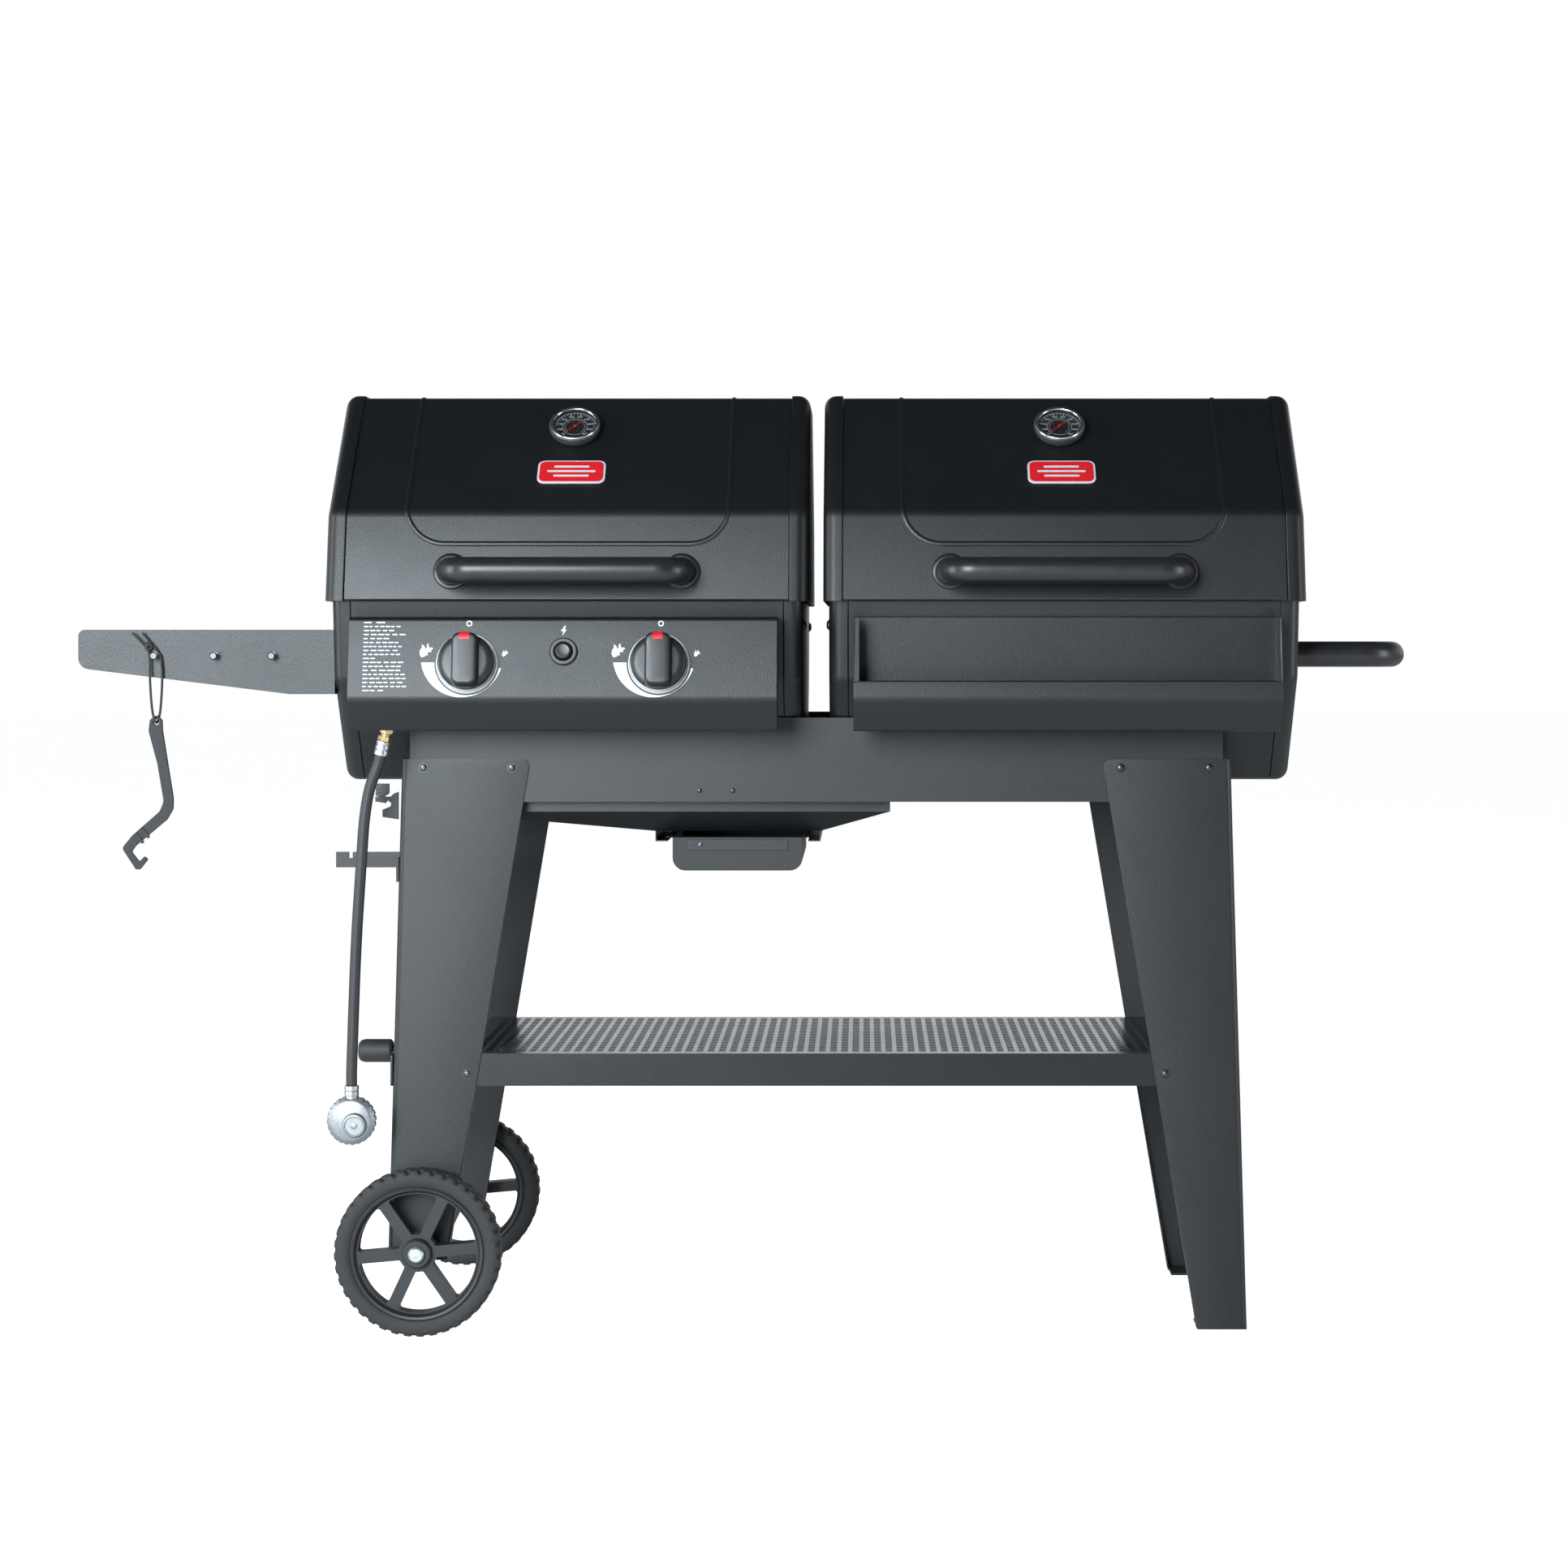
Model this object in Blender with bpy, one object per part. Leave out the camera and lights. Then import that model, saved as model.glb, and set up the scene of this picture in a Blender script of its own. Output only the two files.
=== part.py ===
"""A two-barrel combination grill: a gas barrel and a charcoal barrel on a four-leg sheet-steel cart.

X runs to the right, Y to the back and Z up, in metres. The sizes below are given in a cart frame whose
origin is on the floor under the middle of the cart; at the end everything is moved together, so that
the finished grill stands with the middle of its footprint on the world origin.
"""
import math

import bmesh
import bpy
from mathutils import Vector

MM = 0.001

# ---------------------------------------------------------------- driving dimensions
GAP = 0.3 * MM                      # clearance between pieces that touch
SHEET = 1.5 * MM                    # wall of every pressed panel

# Barrels: one tub and one lid each, both barrels alike
LID_LENGTH = 588 * MM
LID_SPACING = 18 * MM               # free gap between the two lids
LID_HALF_DEPTH = 272 * MM           # at its bottom edge
LID_SHOULDER_HALF_DEPTH = 246 * MM
LID_SHOULDER_RISE = 109 * MM        # above the rim
LID_TOP_HALF_DEPTH = 90 * MM
LID_RISE = 260 * MM                 # above the rim
LID_BEND_RADIUS = 25 * MM
LID_HEM = 15 * MM                   # turned in along the bottom edge
LID_END_PROUD = 3 * MM              # the pressed ends stand above the lid sheet
TUB_INSET = 7 * MM                  # the tub is shorter than the lid by this at each end
TUB_HALF_DEPTH = 262 * MM           # at the rim
TUB_WAIST_HALF_DEPTH = 246 * MM
TUB_WAIST_DROP = 97 * MM            # below the rim
TUB_KNEE_HALF_DEPTH = 200 * MM
TUB_KNEE_DROP = 152 * MM
TUB_FLOOR_HALF_DEPTH = 140 * MM
TUB_DROP = 222 * MM
TUB_BEND_RADIUS = 20 * MM
END_DEPTH = 24 * MM                 # how far the pressed ends reach in from the barrel's end
END_ROUND = 15 * MM                 # rounding of the pressed ends' outer edge
RIM_HEIGHT = 896.7 * MM

# Lid hinge, lid handle and lid thermometer
HINGE_OFFSET = 13 * MM              # behind the lid's bottom edge
HINGE_DROP = 4.7 * MM               # below the rim
HINGE_ROD_RADIUS = 4 * MM
HINGE_EYE_RADIUS = 8 * MM
HINGE_BRACKET_OFFSET = 165 * MM     # from the middle of the barrel
HINGE_EAR_OFFSET = 155 * MM
HINGE_PLATE = 3 * MM
HANDLE_RADIUS = 16 * MM
HANDLE_HALF_SPAN = 140 * MM
HANDLE_HEIGHT = 933 * MM            # centre line of the lid handle and its feet
HANDLE_REACH = 317 * MM             # centre line of its bar, forward of the barrel's middle
HANDLE_BEND_RADIUS = 30 * MM
DIAL_RADIUS = 32 * MM
DIAL_HEIGHT = 16 * MM
DIAL_RECESS = 7 * MM
DIAL_ALONG_SLOPE = 0.69             # place on the lid's slope, from shoulder to top edge
NEEDLE_LENGTH = 22 * MM

# Cart
CART_HALF_DEPTH = 210 * MM          # to the outer face of the aprons
APRON_HALF_LENGTH = 501 * MM
APRON_HEIGHT = 103 * MM
APRON_BOTTOM = 650 * MM
APRON_FLANGE = 20 * MM
END_RAIL_HEIGHT = 20 * MM
LEG_TOP = 703 * MM
LEG_TOP_OUTER = 511 * MM
LEG_TOP_INNER = 352 * MM
LEG_FOOT_OUTER = 531 * MM
LEG_FOOT_INNER = 469 * MM
LEG_SIDE_FLANGE = 60 * MM
LEG_TOP_FLANGE = 35 * MM            # beside the tub the outer flange is this deep
LEG_RETURN_FLANGE = 20 * MM
LEG_BEND_RADIUS = 8 * MM
LEG_CORNER_RADIUS = 12 * MM
SHELF_CLEARANCE = 4 * MM           # the legs' inner returns stop this far above the shelf
WHEELED_LEG_BOTTOM = 86 * MM        # the legs with the axle end above the floor
SHELF_HEIGHT = 340 * MM
SHELF_HALF_LENGTH = 445 * MM
SHELF_FLANGE = 40 * MM
WHEEL_RADIUS = 101.6 * MM
WHEEL_WIDTH = 38 * MM
WHEEL_OFFSET = 31 * MM              # from the leg's face to the middle of the wheel
WHEEL_SPOKES = 6
SPOKE_WIDTH = 14 * MM
SPOKE_TURN = math.radians(5)
AXLE_X = -486 * MM
AXLE_RADIUS = 5 * MM
AXLE_CAP_RADIUS = 9.8 * MM

# Control panel and front tray share one outline
FRONT_BOX_LEFT = 46 * MM            # from the middle of the cart to the near end
FRONT_BOX_LENGTH = 516 * MM
FRONT_BOX_TOP = 877 * MM
FRONT_BOX_TOP_DEPTH = 38 * MM       # from the tub's rim out to the top front edge
FRONT_BOX_BEND_HEIGHT = 778 * MM
FRONT_BOX_BEND_DEPTH = 58 * MM
FRONT_BOX_BOTTOM = 739 * MM
FRONT_BOX_BOTTOM_DEPTH = 32 * MM
TRAY_LIP_HEIGHT = 798 * MM
KNOB_X = (-419 * MM, -188 * MM)
KNOB_HEIGHT = 821 * MM
KNOB_RADIUS = 32.5 * MM
KNOB_DISC = 12 * MM
KNOB_GRIP_WIDTH = 30 * MM
KNOB_TOTAL = 27 * MM
KNOB_STAND_OFF = 7 * MM             # the knob's back above the panel
STEM_RADIUS = 4 * MM
STEM_INSIDE = 20 * MM
IGNITER_X = -303 * MM
IGNITER_HEIGHT = 835 * MM
IGNITER_RADIUS = 10 * MM

# Side shelf, its hooks and the side handle
SIDE_SHELF_TIP = 905 * MM
SIDE_SHELF_HEIGHT = 862 * MM
SIDE_SHELF_HALF_DEPTH = 230 * MM
SIDE_SHELF_ROOT_FLANGE = 79 * MM
SIDE_SHELF_TIP_FLANGE = 47 * MM
SIDE_SHELF_TAPER_START = 646 * MM
HOOK_X = (-810 * MM, -737 * MM, -666 * MM)
HOOK_HEIGHT = 830 * MM
HOOK_RADIUS = 2.5 * MM
HOOK_HEAD_RADIUS = 4.8 * MM
HOOK_LENGTH = 14 * MM
SIDE_HANDLE_REACH = 724 * MM        # centre line, from the middle of the cart
SIDE_HANDLE_HEIGHT = 832 * MM
SIDE_HANDLE_HALF_SPAN = 150 * MM
SIDE_HANDLE_BEND = 45 * MM

# Grates, burner and grease parts
GRATE_THICKNESS = 8 * MM
GRATE_BARS = 9
GRATE_BAR_WIDTH = 16 * MM
COOKING_GRATE_DROP = 50 * MM        # of its underside below the rim
FIRE_GRATE_DROP = 140 * MM
RACK_HEIGHT = 1000 * MM
RACK_FRONT = 60 * MM
RACK_BACK = 200 * MM
BURNER_RADIUS = 13 * MM
BURNER_HEIGHT = 735 * MM
TAMER_HEIGHT = 775 * MM
GREASE_TRAY_LEFT = -480 * MM
GREASE_TRAY_RIGHT = 91 * MM
GREASE_TRAY_HALF_DEPTH = 188 * MM
GREASE_TRAY_LIP = 649 * MM
GREASE_TRAY_SIDE = 12 * MM
OUTLET_LEFT = -202 * MM
OUTLET_RIGHT = 4 * MM
OUTLET_HALF_DEPTH = 150 * MM
OUTLET_HEIGHT = 611 * MM
PAN_RAIL_DROP = 13 * MM
PAN_RAIL_WIDTH = 15 * MM
PAN_WIDTH = 162 * MM
PAN_FRONT = -160 * MM
PAN_BACK = 120 * MM
PAN_DEPTH = 41 * MM
PAN_RIM = 9 * MM
PAN_CORNER_RADIUS = 16 * MM

# Air damper on the right end of the charcoal tub
DAMPER_RADIUS = 42 * MM
DAMPER_HEIGHT = 760 * MM
DAMPER_HOLE_RADIUS = 11 * MM
DAMPER_HOLE_CIRCLE = 24 * MM

# Gas line
MANIFOLD_RADIUS = 6.5 * MM
MANIFOLD_Y = -270 * MM
MANIFOLD_HEIGHT = 800 * MM
MANIFOLD_END = -150 * MM
INLET_X = -519 * MM
INLET_HEIGHT = 748.6 * MM
HOSE_RADIUS = 6.75 * MM
HOSE_TOP = Vector((-529 * MM, -266 * MM, 709 * MM))
REGULATOR_CENTRE = Vector((-565 * MM, -261 * MM, 265 * MM))
REGULATOR_RADIUS = 30 * MM
REGULATOR_THICKNESS = 34 * MM
REGULATOR_STUB_TOP = 307.7 * MM
NUT_OFFSET = Vector((-12 * MM, 0, -13 * MM))
NUT_RADIUS = 19 * MM
NUT_LENGTH = 38 * MM

# Tank hanger and tank rest, bolted outside the two left legs
HANGER_HEIGHT = 566 * MM
HANGER_TIP = -624 * MM
HANGER_ARM_HEIGHT = 20 * MM
HANGER_ARM_WIDTH = 6 * MM
REST_HEIGHT = 319 * MM
BUMPER_RADIUS = 15 * MM
BUMPER_TIP = -595 * MM
BUMPER_BASE = -550 * MM
CROSSBAR = 3 * MM
CROSSBAR_HALF_LENGTH = 205 * MM

# Grate lifter on its lanyard
LIFTER_BACK = -240 * MM
LIFTER_THICKNESS = 6 * MM
LIFTER_EYE = (-806 * MM, 749 * MM)
LIFTER_EYE_RADIUS = 3.7 * MM
LANYARD_RADIUS = 1.5 * MM

# ---------------------------------------------------------------- derived places
BARREL_CENTRE = (LID_LENGTH + LID_SPACING) / 2
TUB_HALF_LENGTH = LID_LENGTH / 2 - TUB_INSET
BARREL_END = BARREL_CENTRE + TUB_HALF_LENGTH
LID_BOTTOM = RIM_HEIGHT + GAP
HINGE_Y = LID_HALF_DEPTH + HINGE_OFFSET
HINGE_Z = RIM_HEIGHT - HINGE_DROP
LEG_FACE = CART_HALF_DEPTH + GAP
WHEEL_Y = LEG_FACE + SHEET + WHEEL_OFFSET
FRONT_BOX_BACK = TUB_HALF_DEPTH + GAP

FINISHES = {
    "black_powder_coat": ((0.018, 0.019, 0.022), 0.45, 0.0),
    "black_tube": ((0.015, 0.015, 0.016), 0.35, 0.0),
    "wheel_plastic": ((0.012, 0.012, 0.013), 0.55, 0.0),
    "knob_plastic": ((0.014, 0.014, 0.015), 0.35, 0.0),
    "bright_steel": ((0.62, 0.62, 0.62), 0.3, 1.0),
    "cast_iron": ((0.03, 0.03, 0.031), 0.7, 0.2),
    "galvanised_steel": ((0.42, 0.43, 0.44), 0.5, 0.9),
    "brass": ((0.66, 0.5, 0.25), 0.3, 1.0),
    "zinc_casting": ((0.36, 0.37, 0.38), 0.5, 0.7),
    "hose_rubber": ((0.02, 0.02, 0.02), 0.6, 0.0),
    "needle_red": ((0.6, 0.03, 0.02), 0.4, 0.0),
    "lanyard_cord": ((0.05, 0.045, 0.04), 0.85, 0.0),
}


# ---------------------------------------------------------------- outlines
def fillet(points, radii, steps=3):
    """Round the corners of a closed outline with arcs; a corner with radius 0 stays sharp."""
    rounded = []
    for index, radius in enumerate(radii):
        here = Vector(points[index])
        if radius <= 0:
            rounded.append(here)
            continue
        to_before = (Vector(points[index - 1]) - here).normalized()
        to_after = (Vector(points[(index + 1) % len(points)]) - here).normalized()
        half_angle = to_before.angle(to_after) / 2
        centre = here + (to_before + to_after).normalized() * radius / math.sin(half_angle)
        start = here + to_before * radius / math.tan(half_angle) - centre
        finish = here + to_after * radius / math.tan(half_angle) - centre
        sweep = math.atan2(start.x * finish.y - start.y * finish.x, start.dot(finish))
        first = math.atan2(start.y, start.x)
        for step in range(steps + 1):
            angle = first + sweep * step / steps
            rounded.append(centre + Vector((math.cos(angle), math.sin(angle))) * radius)
    return rounded


def inset(points, distance):
    """Move each side of an outline inwards, except the open side from its last point to its first."""
    points = [Vector(point) for point in points]
    pairs = list(zip(points, points[1:] + points[:1]))
    area = sum(a.x * b.y - b.x * a.y for a, b in pairs)
    sides = []
    for index, (start, finish) in enumerate(pairs):
        along = (finish - start).normalized()
        inwards = Vector((-along.y, along.x)) * math.copysign(1, area)
        shift = 0 if index == len(pairs) - 1 else distance
        sides.append((start + inwards * shift, along))
    moved = []
    for index, (place, along) in enumerate(sides):
        other_place, other_along = sides[index - 1]
        cross = other_along.x * along.y - other_along.y * along.x
        between = place - other_place
        reach = (between.x * along.y - between.y * along.x) / cross
        moved.append(other_place + other_along * reach)
    return moved


def ribbon(points, width):
    """Closed outline of a strip of the given width along a run of points."""
    points = [Vector(point) for point in points]
    left, right = [], []
    for index, here in enumerate(points):
        before = points[max(index - 1, 0)]
        after = points[min(index + 1, len(points) - 1)]
        into = (here - before).normalized() if index else (after - here).normalized()
        out = (after - here).normalized() if index < len(points) - 1 else into
        across = Vector((-(into + out).y, (into + out).x)).normalized()
        reach = width / 2 / across.dot(Vector((-into.y, into.x)))
        left.append(here + across * reach)
        right.append(here - across * reach)
    return left + right[::-1]


def circle(centre, radius, count, first=0.0, sweep=2 * math.pi):
    """Points round a circle, or along part of it when sweep is less than a full turn."""
    spaces = count if abs(sweep) >= 2 * math.pi else count - 1
    angles = [first + sweep * step / spaces for step in range(count)]
    return [(centre[0] + radius * math.cos(a), centre[1] + radius * math.sin(a)) for a in angles]


def along_x(outline, x):
    return [Vector((x, y, z)) for y, z in outline]


def along_y(outline, y):
    return [Vector((x, y, z)) for x, z in outline]


def along_z(outline, z):
    return [Vector((x, y, z)) for x, y in outline]


# ---------------------------------------------------------------- solids
def add_loft(bm, rings, closed=True, caps=(True, True)):
    """Skin a run of rings with equal counts; an open ring leaves its last side open."""
    loops = [[bm.verts.new(point) for point in ring] for ring in rings]
    for lower, upper in zip(loops, loops[1:]):
        sides = len(lower) if closed else len(lower) - 1
        for index in range(sides):
            after = (index + 1) % len(lower)
            bm.faces.new((lower[index], lower[after], upper[after], upper[index]))
    if caps[0]:
        bm.faces.new(loops[0])
    if caps[1]:
        bm.faces.new(loops[-1])
    return loops


def add_sheet(bm, section, low, high):
    """Open sheet with the same section from one X place to another."""
    add_loft(bm, [along_x(section, low), along_x(section, high)], closed=False, caps=(False, False))


def add_box(bm, low, high):
    outline = [(low[0], low[1]), (high[0], low[1]), (high[0], high[1]), (low[0], high[1])]
    add_loft(bm, [along_z(outline, low[2]), along_z(outline, high[2])])


def add_turned(bm, profile, centre, axis, sides, first=0.0, bored=False):
    """Turn (radius, height) pairs about an axis; a bored profile joins its last ring to its first."""
    spin = Vector(axis).to_track_quat("Z", "Y")
    rings = []
    for radius, height in profile:
        flat = circle((0, 0), radius, sides, first)
        rings.append([Vector(centre) + spin @ Vector((x, y, height)) for x, y in flat])
    if not bored:
        add_loft(bm, rings)
        return
    loops = add_loft(bm, rings, caps=(False, False))
    for index in range(sides):
        after = (index + 1) % sides
        bm.faces.new((loops[-1][index], loops[-1][after], loops[0][after], loops[0][index]))


def add_rod(bm, start, finish, radius, sides=12):
    run = Vector(finish) - Vector(start)
    add_turned(bm, [(radius, 0), (radius, run.length)], start, run, sides)


def face_outwards(bm):
    """Make every face look away from the middle of the piece, open shells included."""
    bmesh.ops.recalc_face_normals(bm, faces=bm.faces)
    middle = sum((vert.co for vert in bm.verts), Vector()) / len(bm.verts)
    farthest = max(bm.faces, key=lambda face: (face.calc_center_median() - middle).length)
    if farthest.normal.dot(farthest.calc_center_median() - middle) < 0:
        bmesh.ops.reverse_faces(bm, faces=bm.faces)


def finish_material(name):
    material = bpy.data.materials.get(name)
    if material:
        return material
    colour, roughness, metallic = FINISHES[name]
    material = bpy.data.materials.new(name)
    material.use_nodes = True
    shader = material.node_tree.nodes["Principled BSDF"]
    shader.inputs["Base Color"].default_value = (*colour, 1)
    shader.inputs["Roughness"].default_value = roughness
    shader.inputs["Metallic"].default_value = metallic
    return material


def piece(name, bm, finish, parent, pivot=(0, 0, 0)):
    """Turn cart-frame geometry into one object whose own origin is at the pivot."""
    face_outwards(bm)
    bmesh.ops.translate(bm, verts=bm.verts, vec=-Vector(pivot))
    mesh = bpy.data.meshes.new(name)
    bm.to_mesh(mesh)
    bm.free()
    mesh.materials.append(finish_material(finish))
    mesh.shade_smooth()
    mesh.set_sharp_from_angle(angle=math.radians(30))
    item = bpy.data.objects.new(name, mesh)
    attach(item, parent, pivot)
    return item


def attach(item, parent, pivot):
    bpy.context.collection.objects.link(item)
    item.parent = parent
    offset = Vector(parent.get("pivot", (0, 0, 0)))
    item.location = Vector(pivot) - offset


def axis_empty(name, parent, pivot):
    """An empty on a joint's axis that carries the pieces that turn about it."""
    empty = bpy.data.objects.new(name, None)
    attach(empty, parent, pivot)
    empty["pivot"] = pivot
    return empty


def thicken(item, wall=SHEET):
    """Give a bent sheet its wall, inwards from the modelled face."""
    modifier = item.modifiers.new("sheet", "SOLIDIFY")
    modifier.thickness = wall
    modifier.offset = -1
    modifier.use_even_offset = True
    return item


def combine(item, tool_bm, operation, name):
    """Join a hidden tool to a piece, or cut it out."""
    tool = piece(name, tool_bm, "black_powder_coat", item.parent, item.parent.get("pivot", (0, 0, 0)))
    tool.hide_render = True
    tool.display_type = "WIRE"
    modifier = item.modifiers.new(name, "BOOLEAN")
    modifier.operation = operation
    modifier.object = tool
    return item


def tube(name, points, radius, finish, parent, resolution=4, cyclic=False, pivot=(0, 0, 0)):
    """A round bar or cord along points, with closed ends."""
    curve = bpy.data.curves.new(name, "CURVE")
    curve.dimensions = "3D"
    curve.bevel_depth = radius
    curve.bevel_resolution = resolution
    curve.use_fill_caps = not cyclic
    spline = curve.splines.new("POLY")
    spline.points.add(len(points) - 1)
    for point, place in zip(spline.points, points):
        point.co = (*(Vector(place) - Vector(pivot)), 1)
    spline.use_cyclic_u = cyclic
    curve.materials.append(finish_material(finish))
    item = bpy.data.objects.new(name, curve)
    attach(item, parent, pivot)
    return item


def smooth_path(points, spacing):
    """Points at an even spacing along a smooth curve through the given ones."""
    points = [Vector(point) for point in points]
    padded = [2 * points[0] - points[1]] + points + [2 * points[-1] - points[-2]]
    fine = []
    for a, b, c, d in zip(padded, padded[1:], padded[2:], padded[3:]):
        for step in range(20):
            t = step / 20
            bend = (2 * a - 5 * b + 4 * c - d) * t * t + (3 * b - a - 3 * c + d) * t ** 3
            fine.append(b + ((c - a) * t + bend) / 2)
    fine.append(points[-1])
    lengths = [0.0]
    for a, b in zip(fine, fine[1:]):
        lengths.append(lengths[-1] + (b - a).length)
    count = max(2, round(lengths[-1] / spacing))
    path = []
    for step in range(count + 1):
        target = lengths[-1] * step / count
        index = max(i for i, length in enumerate(lengths) if length <= target + 1e-9)
        index = min(index, len(fine) - 2)
        share = (target - lengths[index]) / (lengths[index + 1] - lengths[index])
        path.append(fine[index].lerp(fine[index + 1], share))
    return path


def bent_bar(points, radius, steps=4):
    """A run of points in space with each inner corner turned on an arc of the given radius."""
    points = [Vector(point) for point in points]
    path = [points[0]]
    for before, here, after in zip(points, points[1:], points[2:]):
        to_before = (before - here).normalized()
        to_after = (after - here).normalized()
        half_angle = to_before.angle(to_after) / 2
        centre = here + (to_before + to_after).normalized() * radius / math.sin(half_angle)
        start = here + to_before * radius / math.tan(half_angle) - centre
        finish = here + to_after * radius / math.tan(half_angle) - centre
        for step in range(steps + 1):
            path.append(centre + start.normalized().slerp(finish.normalized(), step / steps) * radius)
    return path + [points[-1]]


# ---------------------------------------------------------------- barrel outlines
def tub_outline():
    """Tub section from the front rim down and round to the rear rim; the rim side is open."""
    half = [
        (-TUB_HALF_DEPTH, RIM_HEIGHT),
        (-TUB_WAIST_HALF_DEPTH, RIM_HEIGHT - TUB_WAIST_DROP),
        (-TUB_KNEE_HALF_DEPTH, RIM_HEIGHT - TUB_KNEE_DROP),
        (-TUB_FLOOR_HALF_DEPTH, RIM_HEIGHT - TUB_DROP),
    ]
    return half + [(-y, z) for y, z in reversed(half)]


def lid_outline():
    """Lid section from the front edge up and over to the rear edge; the bottom side is open."""
    half = [
        (-LID_HALF_DEPTH, LID_BOTTOM),
        (-LID_SHOULDER_HALF_DEPTH, LID_BOTTOM + LID_SHOULDER_RISE),
        (-LID_TOP_HALF_DEPTH, LID_BOTTOM + LID_RISE),
    ]
    return half + [(-y, z) for y, z in reversed(half)]


def rounded_section(outline, radius):
    radii = [0] + [radius] * (len(outline) - 2) + [0]
    return fillet(outline, radii, 2)


def slope_frame(share):
    """A point on the lid's front slope, and the slope's outward direction."""
    low = Vector((0, -LID_SHOULDER_HALF_DEPTH, LID_BOTTOM + LID_SHOULDER_RISE))
    high = Vector((0, -LID_TOP_HALF_DEPTH, LID_BOTTOM + LID_RISE))
    along = (high - low).normalized()
    return low.lerp(high, share), Vector((0, -along.z, along.y)), along


def tub_depth_at(height):
    """Half depth of the tub's outer face at a height between its floor and its rim."""
    run = tub_outline()[:4]
    for (wide, top), (narrow, bottom) in zip(run, run[1:]):
        if height >= bottom:
            return -(narrow + (wide - narrow) * (height - bottom) / (top - bottom))
    return TUB_FLOOR_HALF_DEPTH


# ---------------------------------------------------------------- barrels
def pressed_end(name, outline, radius, parent, seam_x, end_x, pivot=(0, 0, 0), proud=0.0):
    """Dished end panel whose outer edge is rounded all along the section."""
    side = math.copysign(1, end_x - seam_x)
    base = inset(outline, -proud)
    sections = [(0, seam_x)]
    for step in range(3):
        angle = math.radians(90) * step / 2
        depth = END_ROUND * (1 - math.cos(angle))
        sections.append((depth, end_x - side * END_ROUND * (1 - math.sin(angle))))
    rings = []
    for depth, x in sections:
        corner = max(radius + proud - depth, 4 * MM)
        rings.append(along_x(rounded_section(inset(base, depth), corner), x))
    bm = bmesh.new()
    add_loft(bm, rings, closed=False, caps=(False, True))
    return thicken(piece(name, bm, "black_powder_coat", parent, pivot))


def make_tub(label, centre, root):
    seam = TUB_HALF_LENGTH - END_DEPTH
    section = rounded_section(tub_outline(), TUB_BEND_RADIUS)
    bm = bmesh.new()
    add_sheet(bm, section, centre - seam, centre + seam)
    thicken(piece(label + "_tub", bm, "black_powder_coat", root))
    ends = {}
    for side, sign in (("left", -1), ("right", 1)):
        name = f"{label}_tub_end_{side}"
        seam_x = centre + sign * (seam + GAP)
        end_x = centre + sign * TUB_HALF_LENGTH
        ends[side] = pressed_end(name, tub_outline(), TUB_BEND_RADIUS, root, seam_x, end_x)
    return ends


def make_lid(label, centre, root):
    """Lid sheet with its turned-in hem and hinge ears, two pressed ends and what is fixed to them."""
    pivot = (centre, HINGE_Y, HINGE_Z)
    axis = axis_empty(label + "_lid_axis", root, pivot)
    seam = LID_LENGTH / 2 - END_DEPTH
    outline = lid_outline()
    front_hem = (-LID_HALF_DEPTH + LID_HEM, LID_BOTTOM)
    rear_hem = (LID_HALF_DEPTH - LID_HEM, LID_BOTTOM)
    section = fillet([front_hem] + outline + [rear_hem], [0, 0] + [LID_BEND_RADIUS] * 4 + [0, 0], 2)
    bm = bmesh.new()
    add_sheet(bm, section, centre - seam, centre + seam)
    lid = thicken(piece(label + "_lid", bm, "black_powder_coat", axis, pivot))

    ears = bmesh.new()
    for offset in (-HINGE_EAR_OFFSET, HINGE_EAR_OFFSET):
        eye = circle((HINGE_Y, HINGE_Z), HINGE_EYE_RADIUS, 8, math.radians(-150), math.radians(210))
        neck = [(LID_HALF_DEPTH - 6 * MM, LID_BOTTOM + 20 * MM)]
        neck.append((LID_HALF_DEPTH - 2 * MM, LID_BOTTOM + 4 * MM))
        left = centre + offset - HINGE_PLATE / 2
        add_loft(ears, [along_x(eye + neck, left), along_x(eye + neck, left + HINGE_PLATE)])
    combine(lid, ears, "UNION", label + "_hinge_ears")
    bore = bmesh.new()
    reach = HINGE_EAR_OFFSET + 2 * HINGE_PLATE
    bore_radius = HINGE_ROD_RADIUS + 2 * GAP
    add_rod(bore, (centre - reach, HINGE_Y, HINGE_Z), (centre + reach, HINGE_Y, HINGE_Z), bore_radius, 10)
    combine(lid, bore, "DIFFERENCE", label + "_hinge_bore")

    for side, sign in (("left", -1), ("right", 1)):
        name = f"{label}_lid_end_{side}"
        seam_x = centre + sign * (seam + GAP)
        end_x = centre + sign * LID_LENGTH / 2
        pressed_end(name, outline, LID_BEND_RADIUS, axis, seam_x, end_x, pivot, LID_END_PROUD)
    make_lid_handle(label, centre, axis, pivot)
    make_thermometer(label, centre, axis)


def make_lid_handle(label, centre, axis, pivot):
    """Bent tube that stands straight out of the leaning lid front."""
    lean = (LID_HALF_DEPTH - LID_SHOULDER_HALF_DEPTH) / LID_SHOULDER_RISE
    lower_edge = HANDLE_HEIGHT - HANDLE_RADIUS - LID_BOTTOM
    foot = Vector((0, -LID_HALF_DEPTH + lean * lower_edge - GAP, HANDLE_HEIGHT))
    bar = Vector((0, -HANDLE_REACH, HANDLE_HEIGHT))
    left = Vector((centre - HANDLE_HALF_SPAN, 0, 0))
    right = Vector((centre + HANDLE_HALF_SPAN, 0, 0))
    path = bent_bar([foot + left, bar + left, bar + right, foot + right], HANDLE_BEND_RADIUS)
    tube(label + "_lid_handle", path, HANDLE_RADIUS, "black_tube", axis, pivot=pivot)


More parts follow.
